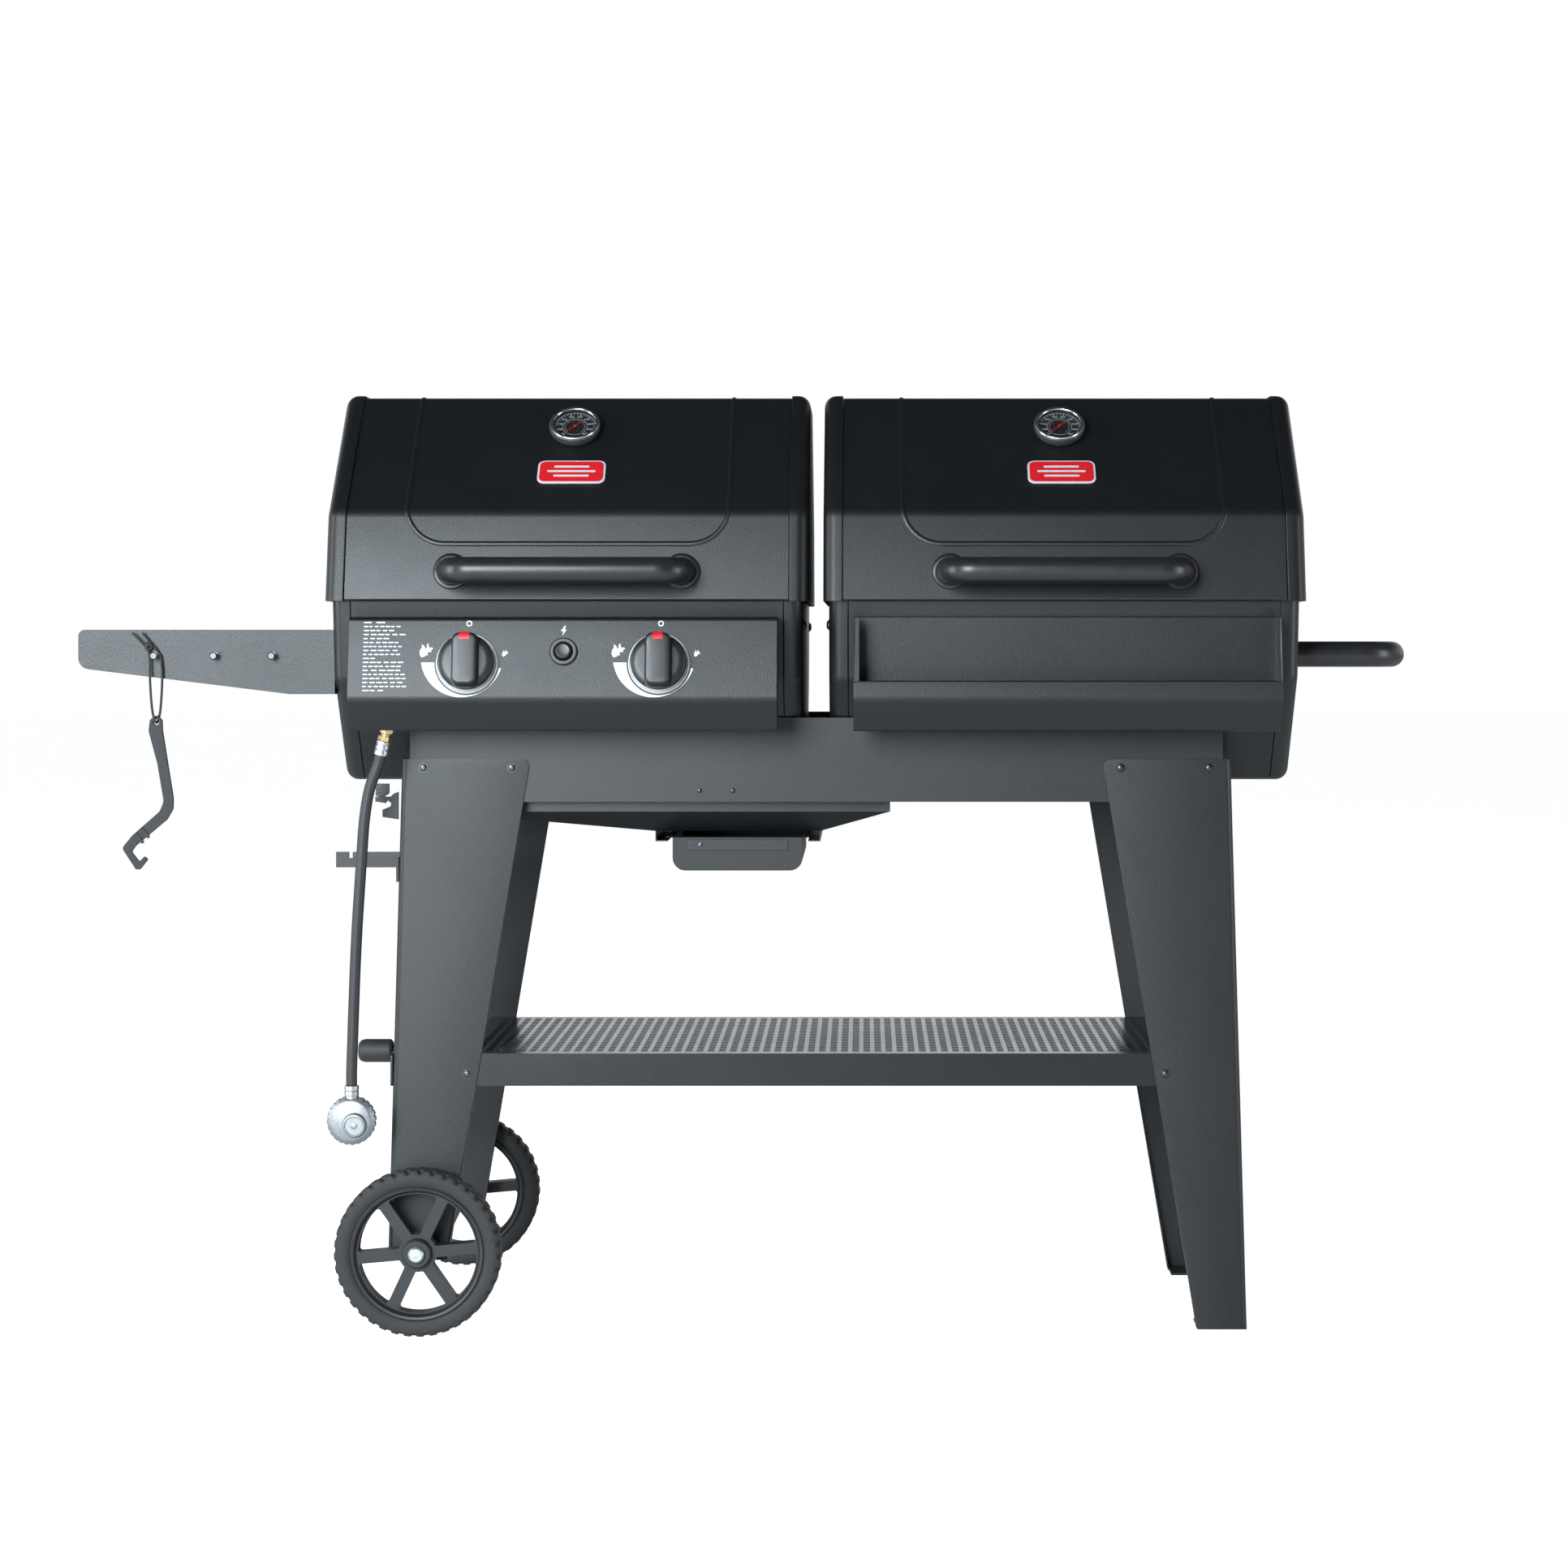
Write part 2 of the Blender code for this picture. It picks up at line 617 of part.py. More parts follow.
def make_thermometer(label, centre, axis):
    seat, outwards, along = slope_frame(DIAL_ALONG_SLOPE)
    seat = seat + Vector((centre, 0, 0)) + outwards * GAP
    recess = DIAL_HEIGHT - DIAL_RECESS
    profile = [
        (DIAL_RADIUS - 3 * MM, 0),
        (DIAL_RADIUS, 3 * MM),
        (DIAL_RADIUS, DIAL_HEIGHT - 2 * MM),
        (DIAL_RADIUS - 2 * MM, DIAL_HEIGHT),
        (DIAL_RADIUS - 4 * MM, DIAL_HEIGHT),
        (DIAL_RADIUS - 5 * MM, recess),
    ]
    bm = bmesh.new()
    add_turned(bm, profile, seat, outwards, 24)
    piece(label + "_thermometer", bm, "bright_steel", axis, seat)

    spin = outwards.to_track_quat("Z", "Y")
    hub = circle((0, 0), 3 * MM, 7, math.radians(60), math.radians(240))
    outline = hub + [(NEEDLE_LENGTH, -0.6 * MM), (NEEDLE_LENGTH, 0.6 * MM)]
    turn = math.radians(225)
    flat = []
    for x, y in outline:
        flat.append((x * math.cos(turn) - y * math.sin(turn), x * math.sin(turn) + y * math.cos(turn)))
    rings = []
    for height in (recess + GAP, recess + 2 * MM):
        rings.append([seat + spin @ Vector((x, y, height)) for x, y in flat])
    bm = bmesh.new()
    add_loft(bm, rings)
    piece(label + "_thermometer_needle", bm, "needle_red", axis, seat + outwards * recess)


def make_hinge(label, centre, root):
    """Hinge rod held behind the tub by two bracket plates."""
    reach = HINGE_BRACKET_OFFSET + 8 * MM
    bm = bmesh.new()
    start, finish = (centre - reach, HINGE_Y, HINGE_Z), (centre + reach, HINGE_Y, HINGE_Z)
    add_rod(bm, start, finish, HINGE_ROD_RADIUS, 12)
    hinge = piece(label + "_hinge", bm, "bright_steel", root)
    plates = bmesh.new()
    low = RIM_HEIGHT - 46 * MM
    high = RIM_HEIGHT - 5 * MM
    for offset in (-HINGE_BRACKET_OFFSET, HINGE_BRACKET_OFFSET):
        eye = circle((HINGE_Y, HINGE_Z), HINGE_EYE_RADIUS, 7, math.radians(-60), math.radians(210))
        wall = [(tub_depth_at(high) + 2 * GAP, high), (tub_depth_at(low) + 2 * GAP, low)]
        left = centre + offset - HINGE_PLATE / 2
        add_loft(plates, [along_x(eye + wall, left), along_x(eye + wall, left + HINGE_PLATE)])
    combine(hinge, plates, "UNION", label + "_hinge_plates")


# ---------------------------------------------------------------- front boxes and controls
def front_box_outline():
    return [
        (-FRONT_BOX_BACK, FRONT_BOX_TOP),
        (-TUB_HALF_DEPTH - FRONT_BOX_TOP_DEPTH, FRONT_BOX_TOP),
        (-TUB_HALF_DEPTH - FRONT_BOX_BEND_DEPTH, FRONT_BOX_BEND_HEIGHT),
        (-TUB_HALF_DEPTH - FRONT_BOX_BOTTOM_DEPTH, FRONT_BOX_BOTTOM),
        (-FRONT_BOX_BACK, FRONT_BOX_BOTTOM),
    ]


def panel_frame():
    """Outward direction of the control face, and a function giving its depth at a height."""
    outline = front_box_outline()
    top, bend = Vector((0, *outline[1])), Vector((0, *outline[2]))
    along = (top - bend).normalized()

    def at(x, height):
        place = bend + along * ((height - bend.z) / along.z)
        return Vector((x, place.y, place.z))

    return Vector((0, -along.z, along.y)), at


def make_control_panel(root):
    left = -FRONT_BOX_LEFT - FRONT_BOX_LENGTH
    outline = fillet(front_box_outline(), [0, 6 * MM, 14 * MM, 6 * MM, 0], 2)
    bm = bmesh.new()
    add_loft(bm, [along_x(outline, left), along_x(outline, -FRONT_BOX_LEFT)])
    face_outwards(bm)
    hidden = [face for face in bm.faces if face.normal.y > 0.9 or face.normal.z < -0.9]
    bmesh.ops.delete(bm, geom=hidden, context="FACES")
    panel = thicken(piece("control_panel", bm, "black_powder_coat", root))
    outwards, at = panel_frame()
    holes = bmesh.new()
    for x, height, radius in (
        (KNOB_X[0], KNOB_HEIGHT, STEM_RADIUS + 1 * MM),
        (KNOB_X[1], KNOB_HEIGHT, STEM_RADIUS + 1 * MM),
        (IGNITER_X, IGNITER_HEIGHT, IGNITER_RADIUS + 0.7 * MM),
    ):
        add_rod(holes, at(x, height) - outwards * 10 * MM, at(x, height) + outwards * 10 * MM, radius, 16)
    combine(panel, holes, "DIFFERENCE", "control_panel_holes")


def make_knobs(root):
    outwards, at = panel_frame()
    for side, x in zip(("left", "right"), KNOB_X):
        face = at(x, KNOB_HEIGHT)
        bore = KNOB_DISC - 4 * MM
        bm = bmesh.new()
        stem_end = face + outwards * (KNOB_STAND_OFF + bore - GAP)
        add_rod(bm, face - outwards * STEM_INSIDE, stem_end, STEM_RADIUS)
        piece("valve_stem_" + side, bm, "bright_steel", root, face)
        profile = [
            (STEM_RADIUS + GAP * 1.5, bore),
            (STEM_RADIUS + GAP * 1.5, 0),
            (KNOB_RADIUS, 0),
            (KNOB_RADIUS, KNOB_DISC - 4 * MM),
            (KNOB_RADIUS - 4 * MM, KNOB_DISC),
        ]
        back = face + outwards * KNOB_STAND_OFF
        bm = bmesh.new()
        add_turned(bm, profile, back, outwards, 24)
        knob = piece("knob_" + side, bm, "knob_plastic", root, back)
        along = Vector((0, outwards.z, -outwards.y))
        half = (KNOB_RADIUS - 2 * MM) * 0.94
        wide = KNOB_GRIP_WIDTH / 2
        corner = 5 * MM
        grip = [(-wide, -half + corner), (-wide + corner, -half)]
        grip += [(wide - corner, -half), (wide, -half + corner)]
        grip = grip + [(-a, -b) for a, b in grip]
        rings = []
        for height in (KNOB_DISC - 1 * MM, KNOB_TOTAL):
            rings.append([back + outwards * height + Vector((a, 0, 0)) + along * b for a, b in grip])
        bar = bmesh.new()
        add_loft(bar, rings)
        combine(knob, bar, "UNION", "knob_grip_" + side)


def make_igniter(root):
    outwards, at = panel_frame()
    face = at(IGNITER_X, IGNITER_HEIGHT)
    profile = [(IGNITER_RADIUS, 0), (IGNITER_RADIUS, 17 * MM), (IGNITER_RADIUS - 2 * MM, 19 * MM)]
    bm = bmesh.new()
    add_turned(bm, profile, face - outwards * 10 * MM, outwards, 20)
    piece("igniter_button", bm, "knob_plastic", root, face)


def make_front_tray(root):
    """Pocket in front of the charcoal tub: open on top and above its front lip."""
    outline = front_box_outline()
    share = (TRAY_LIP_HEIGHT - FRONT_BOX_BEND_HEIGHT) / (FRONT_BOX_TOP - FRONT_BOX_BEND_HEIGHT)
    lip = Vector(outline[2]).lerp(Vector(outline[1]), share)
    outline.insert(2, tuple(lip))
    outline = fillet(outline, [0, 0, 0, 14 * MM, 6 * MM, 0], 2)
    bm = bmesh.new()
    add_loft(bm, [along_x(outline, FRONT_BOX_LEFT), along_x(outline, FRONT_BOX_LEFT + FRONT_BOX_LENGTH)])
    face_outwards(bm)
    open_faces = []
    for face in bm.faces:
        high = face.calc_center_median().z > TRAY_LIP_HEIGHT
        if face.normal.z > 0.9 or (high and face.normal.y < -0.9):
            open_faces.append(face)
    bmesh.ops.delete(bm, geom=open_faces, context="FACES")
    thicken(piece("front_tray", bm, "black_powder_coat", root))


# ---------------------------------------------------------------- cart
def leg_edges(height):
    """Outer and inner edge of a leg at a height."""
    share = height / LEG_TOP
    outer = LEG_FOOT_OUTER + (LEG_TOP_OUTER - LEG_FOOT_OUTER) * share
    inner = LEG_FOOT_INNER + (LEG_TOP_INNER - LEG_FOOT_INNER) * share
    return outer, inner


def make_leg(name, side, end, bottom, root):
    """Splayed sheet leg: face plate, flange along its outer side and return along its inner edge."""
    face = LEG_FACE + SHEET
    rings = []
    curve_start = LEG_TOP - LEG_CORNER_RADIUS
    heights = [max(bottom, SHEET), curve_start]
    heights += [curve_start + LEG_CORNER_RADIUS * math.sin(math.radians(angle)) for angle in (30, 60, 80)]
    for height in heights:
        outer, inner = leg_edges(height)
        rise = max(0.0, height - curve_start)
        inner += LEG_CORNER_RADIUS - math.sqrt(LEG_CORNER_RADIUS ** 2 - rise ** 2)
        corners = [
            (outer, face - LEG_SIDE_FLANGE),
            (outer, face),
            (inner, face),
            (inner, face - LEG_RETURN_FLANGE),
        ]
        outline = fillet(corners, [0, LEG_BEND_RADIUS, LEG_BEND_RADIUS / 2, 0], 2)
        rings.append(along_z([(side * x, end * y) for x, y in outline], height))
    bm = bmesh.new()
    add_loft(bm, rings, closed=False, caps=(False, False))
    leg = thicken(piece(name, bm, "black_powder_coat", root))

    notch = bmesh.new()
    margin = 20 * MM

    def clear(x_low, x_high, z_low, z_high):
        """Cut the leg's inner parts away between two heights, behind its face plate."""
        xs = sorted((side * x_low, side * x_high))
        ys = sorted((end * (LEG_FACE - GAP / 2), end * (LEG_FACE - 2 * LEG_RETURN_FLANGE)))
        add_box(notch, (xs[0], ys[0], z_low), (xs[1], ys[1], z_high))

    clear(LEG_TOP_INNER - margin, LEG_TOP_OUTER - 4 * SHEET, APRON_BOTTOM - 2 * MM, LEG_TOP + margin)
    inner = leg_edges(SHELF_HEIGHT)[1]
    shelf_low = SHELF_HEIGHT - SHELF_FLANGE - SHELF_CLEARANCE
    clear(inner - margin, inner + 2 * margin, shelf_low, SHELF_HEIGHT + SHELF_CLEARANCE)
    combine(leg, notch, "DIFFERENCE", name + "_notches")
    relief = bmesh.new()
    xs = sorted((side * LEG_TOP_INNER, side * (LEG_TOP_OUTER + margin)))
    ys = sorted((end * (face - LEG_TOP_FLANGE), end * (face - LEG_SIDE_FLANGE - margin)))
    add_box(relief, (xs[0], ys[0], APRON_BOTTOM - 2 * MM), (xs[1], ys[1], LEG_TOP + margin))
    combine(leg, relief, "DIFFERENCE", name + "_tub_relief")
    if bottom > 0:
        hole = bmesh.new()
        near, far = end * (face - 10 * MM), end * (face + 10 * MM)
        start, finish = (AXLE_X, near, WHEEL_RADIUS), (AXLE_X, far, WHEEL_RADIUS)
        add_rod(hole, start, finish, AXLE_RADIUS + 2 * GAP, 12)
        combine(leg, hole, "DIFFERENCE", name + "_axle_hole")
    else:
        foot = bmesh.new()
        xs = sorted((side * (LEG_FOOT_INNER + SHEET / 2), side * (LEG_FOOT_OUTER - SHEET / 2)))
        ys = sorted((end * (face - SHEET / 2), end * (face - LEG_SIDE_FLANGE + SHEET / 2)))
        add_box(foot, (xs[0], ys[0], 0), (xs[1], ys[1], 2 * SHEET))
        combine(leg, foot, "UNION", name + "_foot")


def make_cart(root):
    for name, end in (("front_apron", -1), ("rear_apron", 1)):
        outline = [
            (end * CART_HALF_DEPTH, APRON_BOTTOM + APRON_HEIGHT),
            (end * CART_HALF_DEPTH, APRON_BOTTOM),
            (end * (CART_HALF_DEPTH - APRON_FLANGE), APRON_BOTTOM),
        ]
        apron = ribbon([(abs(y) - SHEET / 2, z + SHEET / 2) for y, z in outline], SHEET)
        apron = [(end * y, z) for y, z in apron]
        bm = bmesh.new()
        add_loft(bm, [along_x(apron, -APRON_HALF_LENGTH), along_x(apron, APRON_HALF_LENGTH)])
        piece(name, bm, "black_powder_coat", root)
    for name, side in (("end_rail_left", -1), ("end_rail_right", 1)):
        base = APRON_BOTTOM + SHEET + GAP
        outer = APRON_HALF_LENGTH - SHEET
        run = [(side * outer, base + END_RAIL_HEIGHT), (side * outer, base + SHEET / 2)]
        run.append((side * (outer - APRON_FLANGE), base + SHEET / 2))
        outline = ribbon(run, SHEET)
        reach = CART_HALF_DEPTH - SHEET - GAP
        bm = bmesh.new()
        add_loft(bm, [along_y(outline, -reach), along_y(outline, reach)])
        piece(name, bm, "black_powder_coat", root)
    for end_name, end in (("front", -1), ("rear", 1)):
        make_leg(f"leg_{end_name}_left", -1, end, WHEELED_LEG_BOTTOM, root)
        make_leg(f"leg_{end_name}_right", 1, end, 0, root)

    reach = CART_HALF_DEPTH - GAP
    outline = [(-reach, SHELF_HEIGHT - SHELF_FLANGE), (-reach, SHELF_HEIGHT), (reach, SHELF_HEIGHT)]
    outline.append((reach, SHELF_HEIGHT - SHELF_FLANGE))
    bm = bmesh.new()
    add_sheet(bm, outline, -SHELF_HALF_LENGTH, SHELF_HALF_LENGTH)
    thicken(piece("bottom_shelf", bm, "black_powder_coat", root))


def make_wheels(root):
    cap_start = WHEEL_Y + WHEEL_WIDTH / 2 + 2.5 * MM
    profile = [
        (AXLE_CAP_RADIUS - 2 * MM, -cap_start - 6 * MM),
        (AXLE_CAP_RADIUS, -cap_start - 4 * MM),
        (AXLE_CAP_RADIUS, -cap_start),
        (AXLE_RADIUS, -cap_start),
    ]
    profile = profile + [(radius, -height) for radius, height in reversed(profile)]
    bm = bmesh.new()
    add_turned(bm, profile, (AXLE_X, 0, WHEEL_RADIUS), (0, 1, 0), 12)
    piece("wheel_axle", bm, "galvanised_steel", root, (AXLE_X, 0, WHEEL_RADIUS))

    half = WHEEL_WIDTH / 2
    hub, rim, tyre = 19 * MM, 76 * MM, 94 * MM
    section = [
        (AXLE_RADIUS + GAP, half + 1.5 * MM),
        (hub - 2 * MM, half + 1.5 * MM),
        (hub, half - 8 * MM),
        (rim, half - 8 * MM),
        (rim + 3 * MM, half),
        (tyre, half),
        (WHEEL_RADIUS, half - 5 * MM),
    ]
    profile = section + [(radius, -height) for radius, height in reversed(section)]
    for name, end in (("wheel_front", -1), ("wheel_rear", 1)):
        centre = Vector((AXLE_X, end * WHEEL_Y, WHEEL_RADIUS))
        bm = bmesh.new()
        add_turned(bm, profile, centre, (0, 1, 0), 24, bored=True)
        wheel = piece(name, bm, "wheel_plastic", root, centre)
        windows = bmesh.new()
        inner, outer = hub + 3 * MM, rim - 2 * MM
        for spoke in range(WHEEL_SPOKES):
            start = SPOKE_TURN + spoke * 2 * math.pi / WHEEL_SPOKES
            outline = []
            for radius, count, back in ((inner, 2, False), (outer, 4, True)):
                lean = math.asin(SPOKE_WIDTH / 2 / radius)
                sweep = 2 * math.pi / WHEEL_SPOKES - 2 * lean
                arc = circle((centre.x, centre.z), radius, count, start + lean, sweep)
                outline += arc[::-1] if back else arc
            near, far = centre.y - WHEEL_WIDTH, centre.y + WHEEL_WIDTH
            add_loft(windows, [along_y(outline, near), along_y(outline, far)])
        combine(wheel, windows, "DIFFERENCE", name + "_windows")


def make_tank_fittings(root):
    """Hanger arm and rest for a gas bottle, each on a crossbar outside the left legs."""
    outer = leg_edges(HANGER_HEIGHT - 15 * MM)[0] + GAP
    bm = bmesh.new()
    low = (-outer - CROSSBAR, -CROSSBAR_HALF_LENGTH, HANGER_HEIGHT - 15 * MM)
    high = (-outer, CROSSBAR_HALF_LENGTH, HANGER_HEIGHT + 15 * MM)
    add_box(bm, low, high)
    hanger = piece("tank_hanger", bm, "black_powder_coat", root)
    half = HANGER_ARM_HEIGHT / 2
    notch_x, notch_wide, notch_deep = -605 * MM, 5 * MM, 8 * MM
    outline = [
        (-outer - CROSSBAR / 2, HANGER_HEIGHT - half),
        (-outer - CROSSBAR / 2, HANGER_HEIGHT + half),
        (notch_x + notch_wide / 2, HANGER_HEIGHT + half),
        (notch_x + notch_wide / 2, HANGER_HEIGHT + half - notch_deep),
        (notch_x - notch_wide / 2, HANGER_HEIGHT + half - notch_deep),
        (notch_x - notch_wide / 2, HANGER_HEIGHT + half),
        (HANGER_TIP, HANGER_HEIGHT + half),
        (HANGER_TIP, HANGER_HEIGHT - half),
    ]
    arm = bmesh.new()
    add_loft(arm, [along_y(outline, -HANGER_ARM_WIDTH / 2), along_y(outline, HANGER_ARM_WIDTH / 2)])
    combine(hanger, arm, "UNION", "tank_hanger_arm")

    outer = leg_edges(REST_HEIGHT - 20 * MM)[0] + GAP
    bm = bmesh.new()
    low = (-outer - CROSSBAR, -CROSSBAR_HALF_LENGTH, REST_HEIGHT - 20 * MM)
    high = (-outer, CROSSBAR_HALF_LENGTH, REST_HEIGHT + 20 * MM)
    add_box(bm, low, high)
    rest = piece("tank_rest", bm, "black_powder_coat", root)
    bumper = bmesh.new()
    profile = [
        (7 * MM, 0),
        (7 * MM, -BUMPER_BASE - outer - CROSSBAR / 2),
        (BUMPER_RADIUS, -BUMPER_BASE - outer - CROSSBAR / 2),
        (BUMPER_RADIUS, -BUMPER_TIP - outer - CROSSBAR / 2 - 4 * MM),
        (BUMPER_RADIUS - 4 * MM, -BUMPER_TIP - outer - CROSSBAR / 2),
    ]
    add_turned(bumper, profile, (-outer - CROSSBAR / 2, 0, REST_HEIGHT), (-1, 0, 0), 16)
    combine(rest, bumper, "UNION", "tank_bumper")


# ---------------------------------------------------------------- inside the barrels
def add_slotted_plate(bm, low, high, border, bars, bar_width):
    """Flat grate: a border with bars running front to back and slots between them."""
    pitch = (high[0] - low[0] - 2 * border + bar_width) / (bars + 1)
    xs = [low[0]]
    for index in range(bars + 1):
        start = low[0] + border + index * pitch
        xs += [start, start + pitch - bar_width]
    xs.append(high[0])
    ys = [low[1], low[1] + border, high[1] - border, high[1]]
    corners = {}
    for level, z in enumerate((low[2], high[2])):
        for i, x in enumerate(xs):
            for j, y in enumerate(ys):
                corners[i, j, level] = bm.verts.new((x, y, z))

    def solid(i, j):
        inside = 0 <= i < len(xs) - 1 and 0 <= j < len(ys) - 1
        return inside and not (i % 2 == 1 and j == 1)

    for i in range(len(xs) - 1):
        for j in range(len(ys) - 1):
            if not solid(i, j):
                continue
            square = [(i, j), (i + 1, j), (i + 1, j + 1), (i, j + 1)]
            neighbours = [(i, j - 1), (i + 1, j), (i, j + 1), (i - 1, j)]
            for level in (0, 1):
                bm.faces.new([corners[a, b, level] for a, b in square])
            for index, place in enumerate(neighbours):
                if not solid(*place):
                    (a, b), (c, d) = square[index], square[(index + 1) % 4]
                    bm.faces.new((corners[a, b, 0], corners[c, d, 0], corners[c, d, 1], corners[a, b, 1]))


def make_grate(name, centre, underside, root, finish):
    """Grate that rests on the tub's walls where they narrow to its depth."""
    half_length = TUB_HALF_LENGTH - SHEET - END_ROUND
    half_depth = tub_depth_at(underside) - 1.4 * SHEET - GAP
    bm = bmesh.new()
    low = (centre - half_length, -half_depth, underside)
    high = (centre + half_length, half_depth, underside + GRATE_THICKNESS)
    add_slotted_plate(bm, low, high, 14 * MM, GRATE_BARS, GRATE_BAR_WIDTH)
    piece(name, bm, finish, root)
    return half_length


def make_warming_rack(name, centre, half_length, root):
    """Rack at the back of the lid space, on four legs that stand on the cooking grate."""
    standing = RIM_HEIGHT - COOKING_GRATE_DROP + GRATE_THICKNESS + GAP
    thickness = 5 * MM
    reach = half_length - 6 * MM
    bm = bmesh.new()
    low = (centre - reach, RACK_FRONT, RACK_HEIGHT)
    high = (centre + reach, RACK_BACK, RACK_HEIGHT + thickness)
    add_slotted_plate(bm, low, high, 6 * MM, GRATE_BARS, 5 * MM)
    rack = piece(name, bm, "bright_steel", root)
    legs = bmesh.new()
    for x in (centre - reach, centre + reach - 5 * MM):
        for y in (RACK_FRONT, RACK_BACK - 5 * MM):
            add_box(legs, (x, y, standing), (x + 5 * MM, y + 5 * MM, RACK_HEIGHT + 3 * MM))
    combine(rack, legs, "UNION", name + "_legs")


def make_burner(root):
    centre = -BARREL_CENTRE
    corners = [
        (centre - 160 * MM, -120 * MM),
        (centre + 160 * MM, -120 * MM),
        (centre + 160 * MM, 120 * MM),
        (centre - 160 * MM, 120 * MM),
    ]
    path = along_z(fillet(corners, [40 * MM] * 4, 3), BURNER_HEIGHT)
    tube("burner", path, BURNER_RADIUS, "bright_steel", root, 3, cyclic=True)

    ridges = 4
    pitch = 92 * MM
    run = []
    for index in range(2 * ridges + 1):
        x = centre - ridges * pitch / 2 + index * pitch / 2
        run.append((x, TAMER_HEIGHT + (25 * MM if index % 2 else 0)))
    outline = ribbon(run, SHEET)
    bm = bmesh.new()
    add_loft(bm, [along_y(outline, -150 * MM), along_y(outline, 150 * MM)])
    piece("flame_tamer", bm, "cast_iron", root)


def make_grease_parts(root):
    """Funnel tray under the gas tub, with rails along its outlet that carry the drip pan."""

    def rectangle(left, right, half_depth, height):
        outline = [(left, -half_depth), (right, -half_depth), (right, half_depth), (left, half_depth)]
        return along_z(outline, height)

    mouth = (GREASE_TRAY_LEFT, GREASE_TRAY_RIGHT, GREASE_TRAY_HALF_DEPTH)
    bm = bmesh.new()
    rings = [
        rectangle(*mouth, GREASE_TRAY_LIP),
        rectangle(*mouth, GREASE_TRAY_LIP - GREASE_TRAY_SIDE),
        rectangle(OUTLET_LEFT, OUTLET_RIGHT, OUTLET_HALF_DEPTH, OUTLET_HEIGHT),
    ]
    outlet = add_loft(bm, rings, caps=(False, False))[-1]
    for front, back, turn in ((outlet[0], outlet[3], 1), (outlet[1], outlet[2], -1)):
        run = [(front, back)]
        for step in (Vector((0, 0, -PAN_RAIL_DROP)), Vector((turn * PAN_RAIL_WIDTH, 0, 0))):
            near, far = run[-1]
            run.append((bm.verts.new(near.co + step), bm.verts.new(far.co + step)))
        for (a, b), (c, d) in zip(run, run[1:]):
            bm.faces.new((a, b, d, c))
    thicken(piece("grease_tray", bm, "black_powder_coat", root))

    middle = (OUTLET_LEFT + OUTLET_RIGHT) / 2
    rim = OUTLET_HEIGHT - PAN_RAIL_DROP + 2 * SHEET + 2 * GAP
    left, right = middle - PAN_WIDTH / 2, middle + PAN_WIDTH / 2
    corners = [(left, rim), (left, rim - PAN_DEPTH), (right, rim - PAN_DEPTH), (right, rim)]
    outline = fillet(corners, [0, PAN_CORNER_RADIUS, PAN_CORNER_RADIUS, 0], 3)
    bm = bmesh.new()
    rings = [along_y(outline, PAN_FRONT), along_y(outline, PAN_BACK)]
    front, back = add_loft(bm, rings, closed=False, caps=(True, True))
    for near, far, turn in ((front[0], back[0], -1), (front[-1], back[-1], 1)):
        step = Vector((turn * PAN_RIM, 0, 0))
        bm.faces.new((near, far, bm.verts.new(far.co + step), bm.verts.new(near.co + step)))
    thicken(piece("drip_pan", bm, "black_powder_coat", root, (middle, PAN_FRONT, rim)))


def make_air_damper(ends, root):
    """Turning disc outside the charcoal tub's right end, over three air holes."""
    face = Vector((BARREL_END, 0, DAMPER_HEIGHT))
    holes = bmesh.new()
    for index in range(3):
        angle = math.radians(90 + 120 * index)
        offset = Vector((0, math.cos(angle), math.sin(angle))) * DAMPER_HOLE_CIRCLE
        place = face + offset
        reach = Vector((10 * MM, 0, 0))
        add_rod(holes, place - reach, place + reach, DAMPER_HOLE_RADIUS, 12)
    combine(ends["right"], holes, "DIFFERENCE", "air_holes")

    pivot = face + Vector((GAP, 0, 0))
    bm = bmesh.new()
    add_turned(bm, [(DAMPER_RADIUS, 0), (DAMPER_RADIUS, SHEET)], pivot, (1, 0, 0), 24)
    damper = piece("air_damper", bm, "black_powder_coat", root, pivot)
    ports = bmesh.new()
    for index in range(3):
        angle = math.radians(90 + 120 * index)
        place = pivot + Vector((0, math.cos(angle), math.sin(angle))) * DAMPER_HOLE_CIRCLE
        start, finish = place - Vector((5 * MM, 0, 0)), place + Vector((5 * MM, 0, 0))
        add_rod(ports, start, finish, DAMPER_HOLE_RADIUS, 12)
    combine(damper, ports, "DIFFERENCE", "damper_ports")
    tab = bmesh.new()
    top = pivot.z + DAMPER_RADIUS
    add_box(tab, (pivot.x, -7 * MM, top - 6 * MM), (pivot.x + 12 * MM, 7 * MM, top - 4 * MM))
    combine(damper, tab, "UNION", "damper_tab")


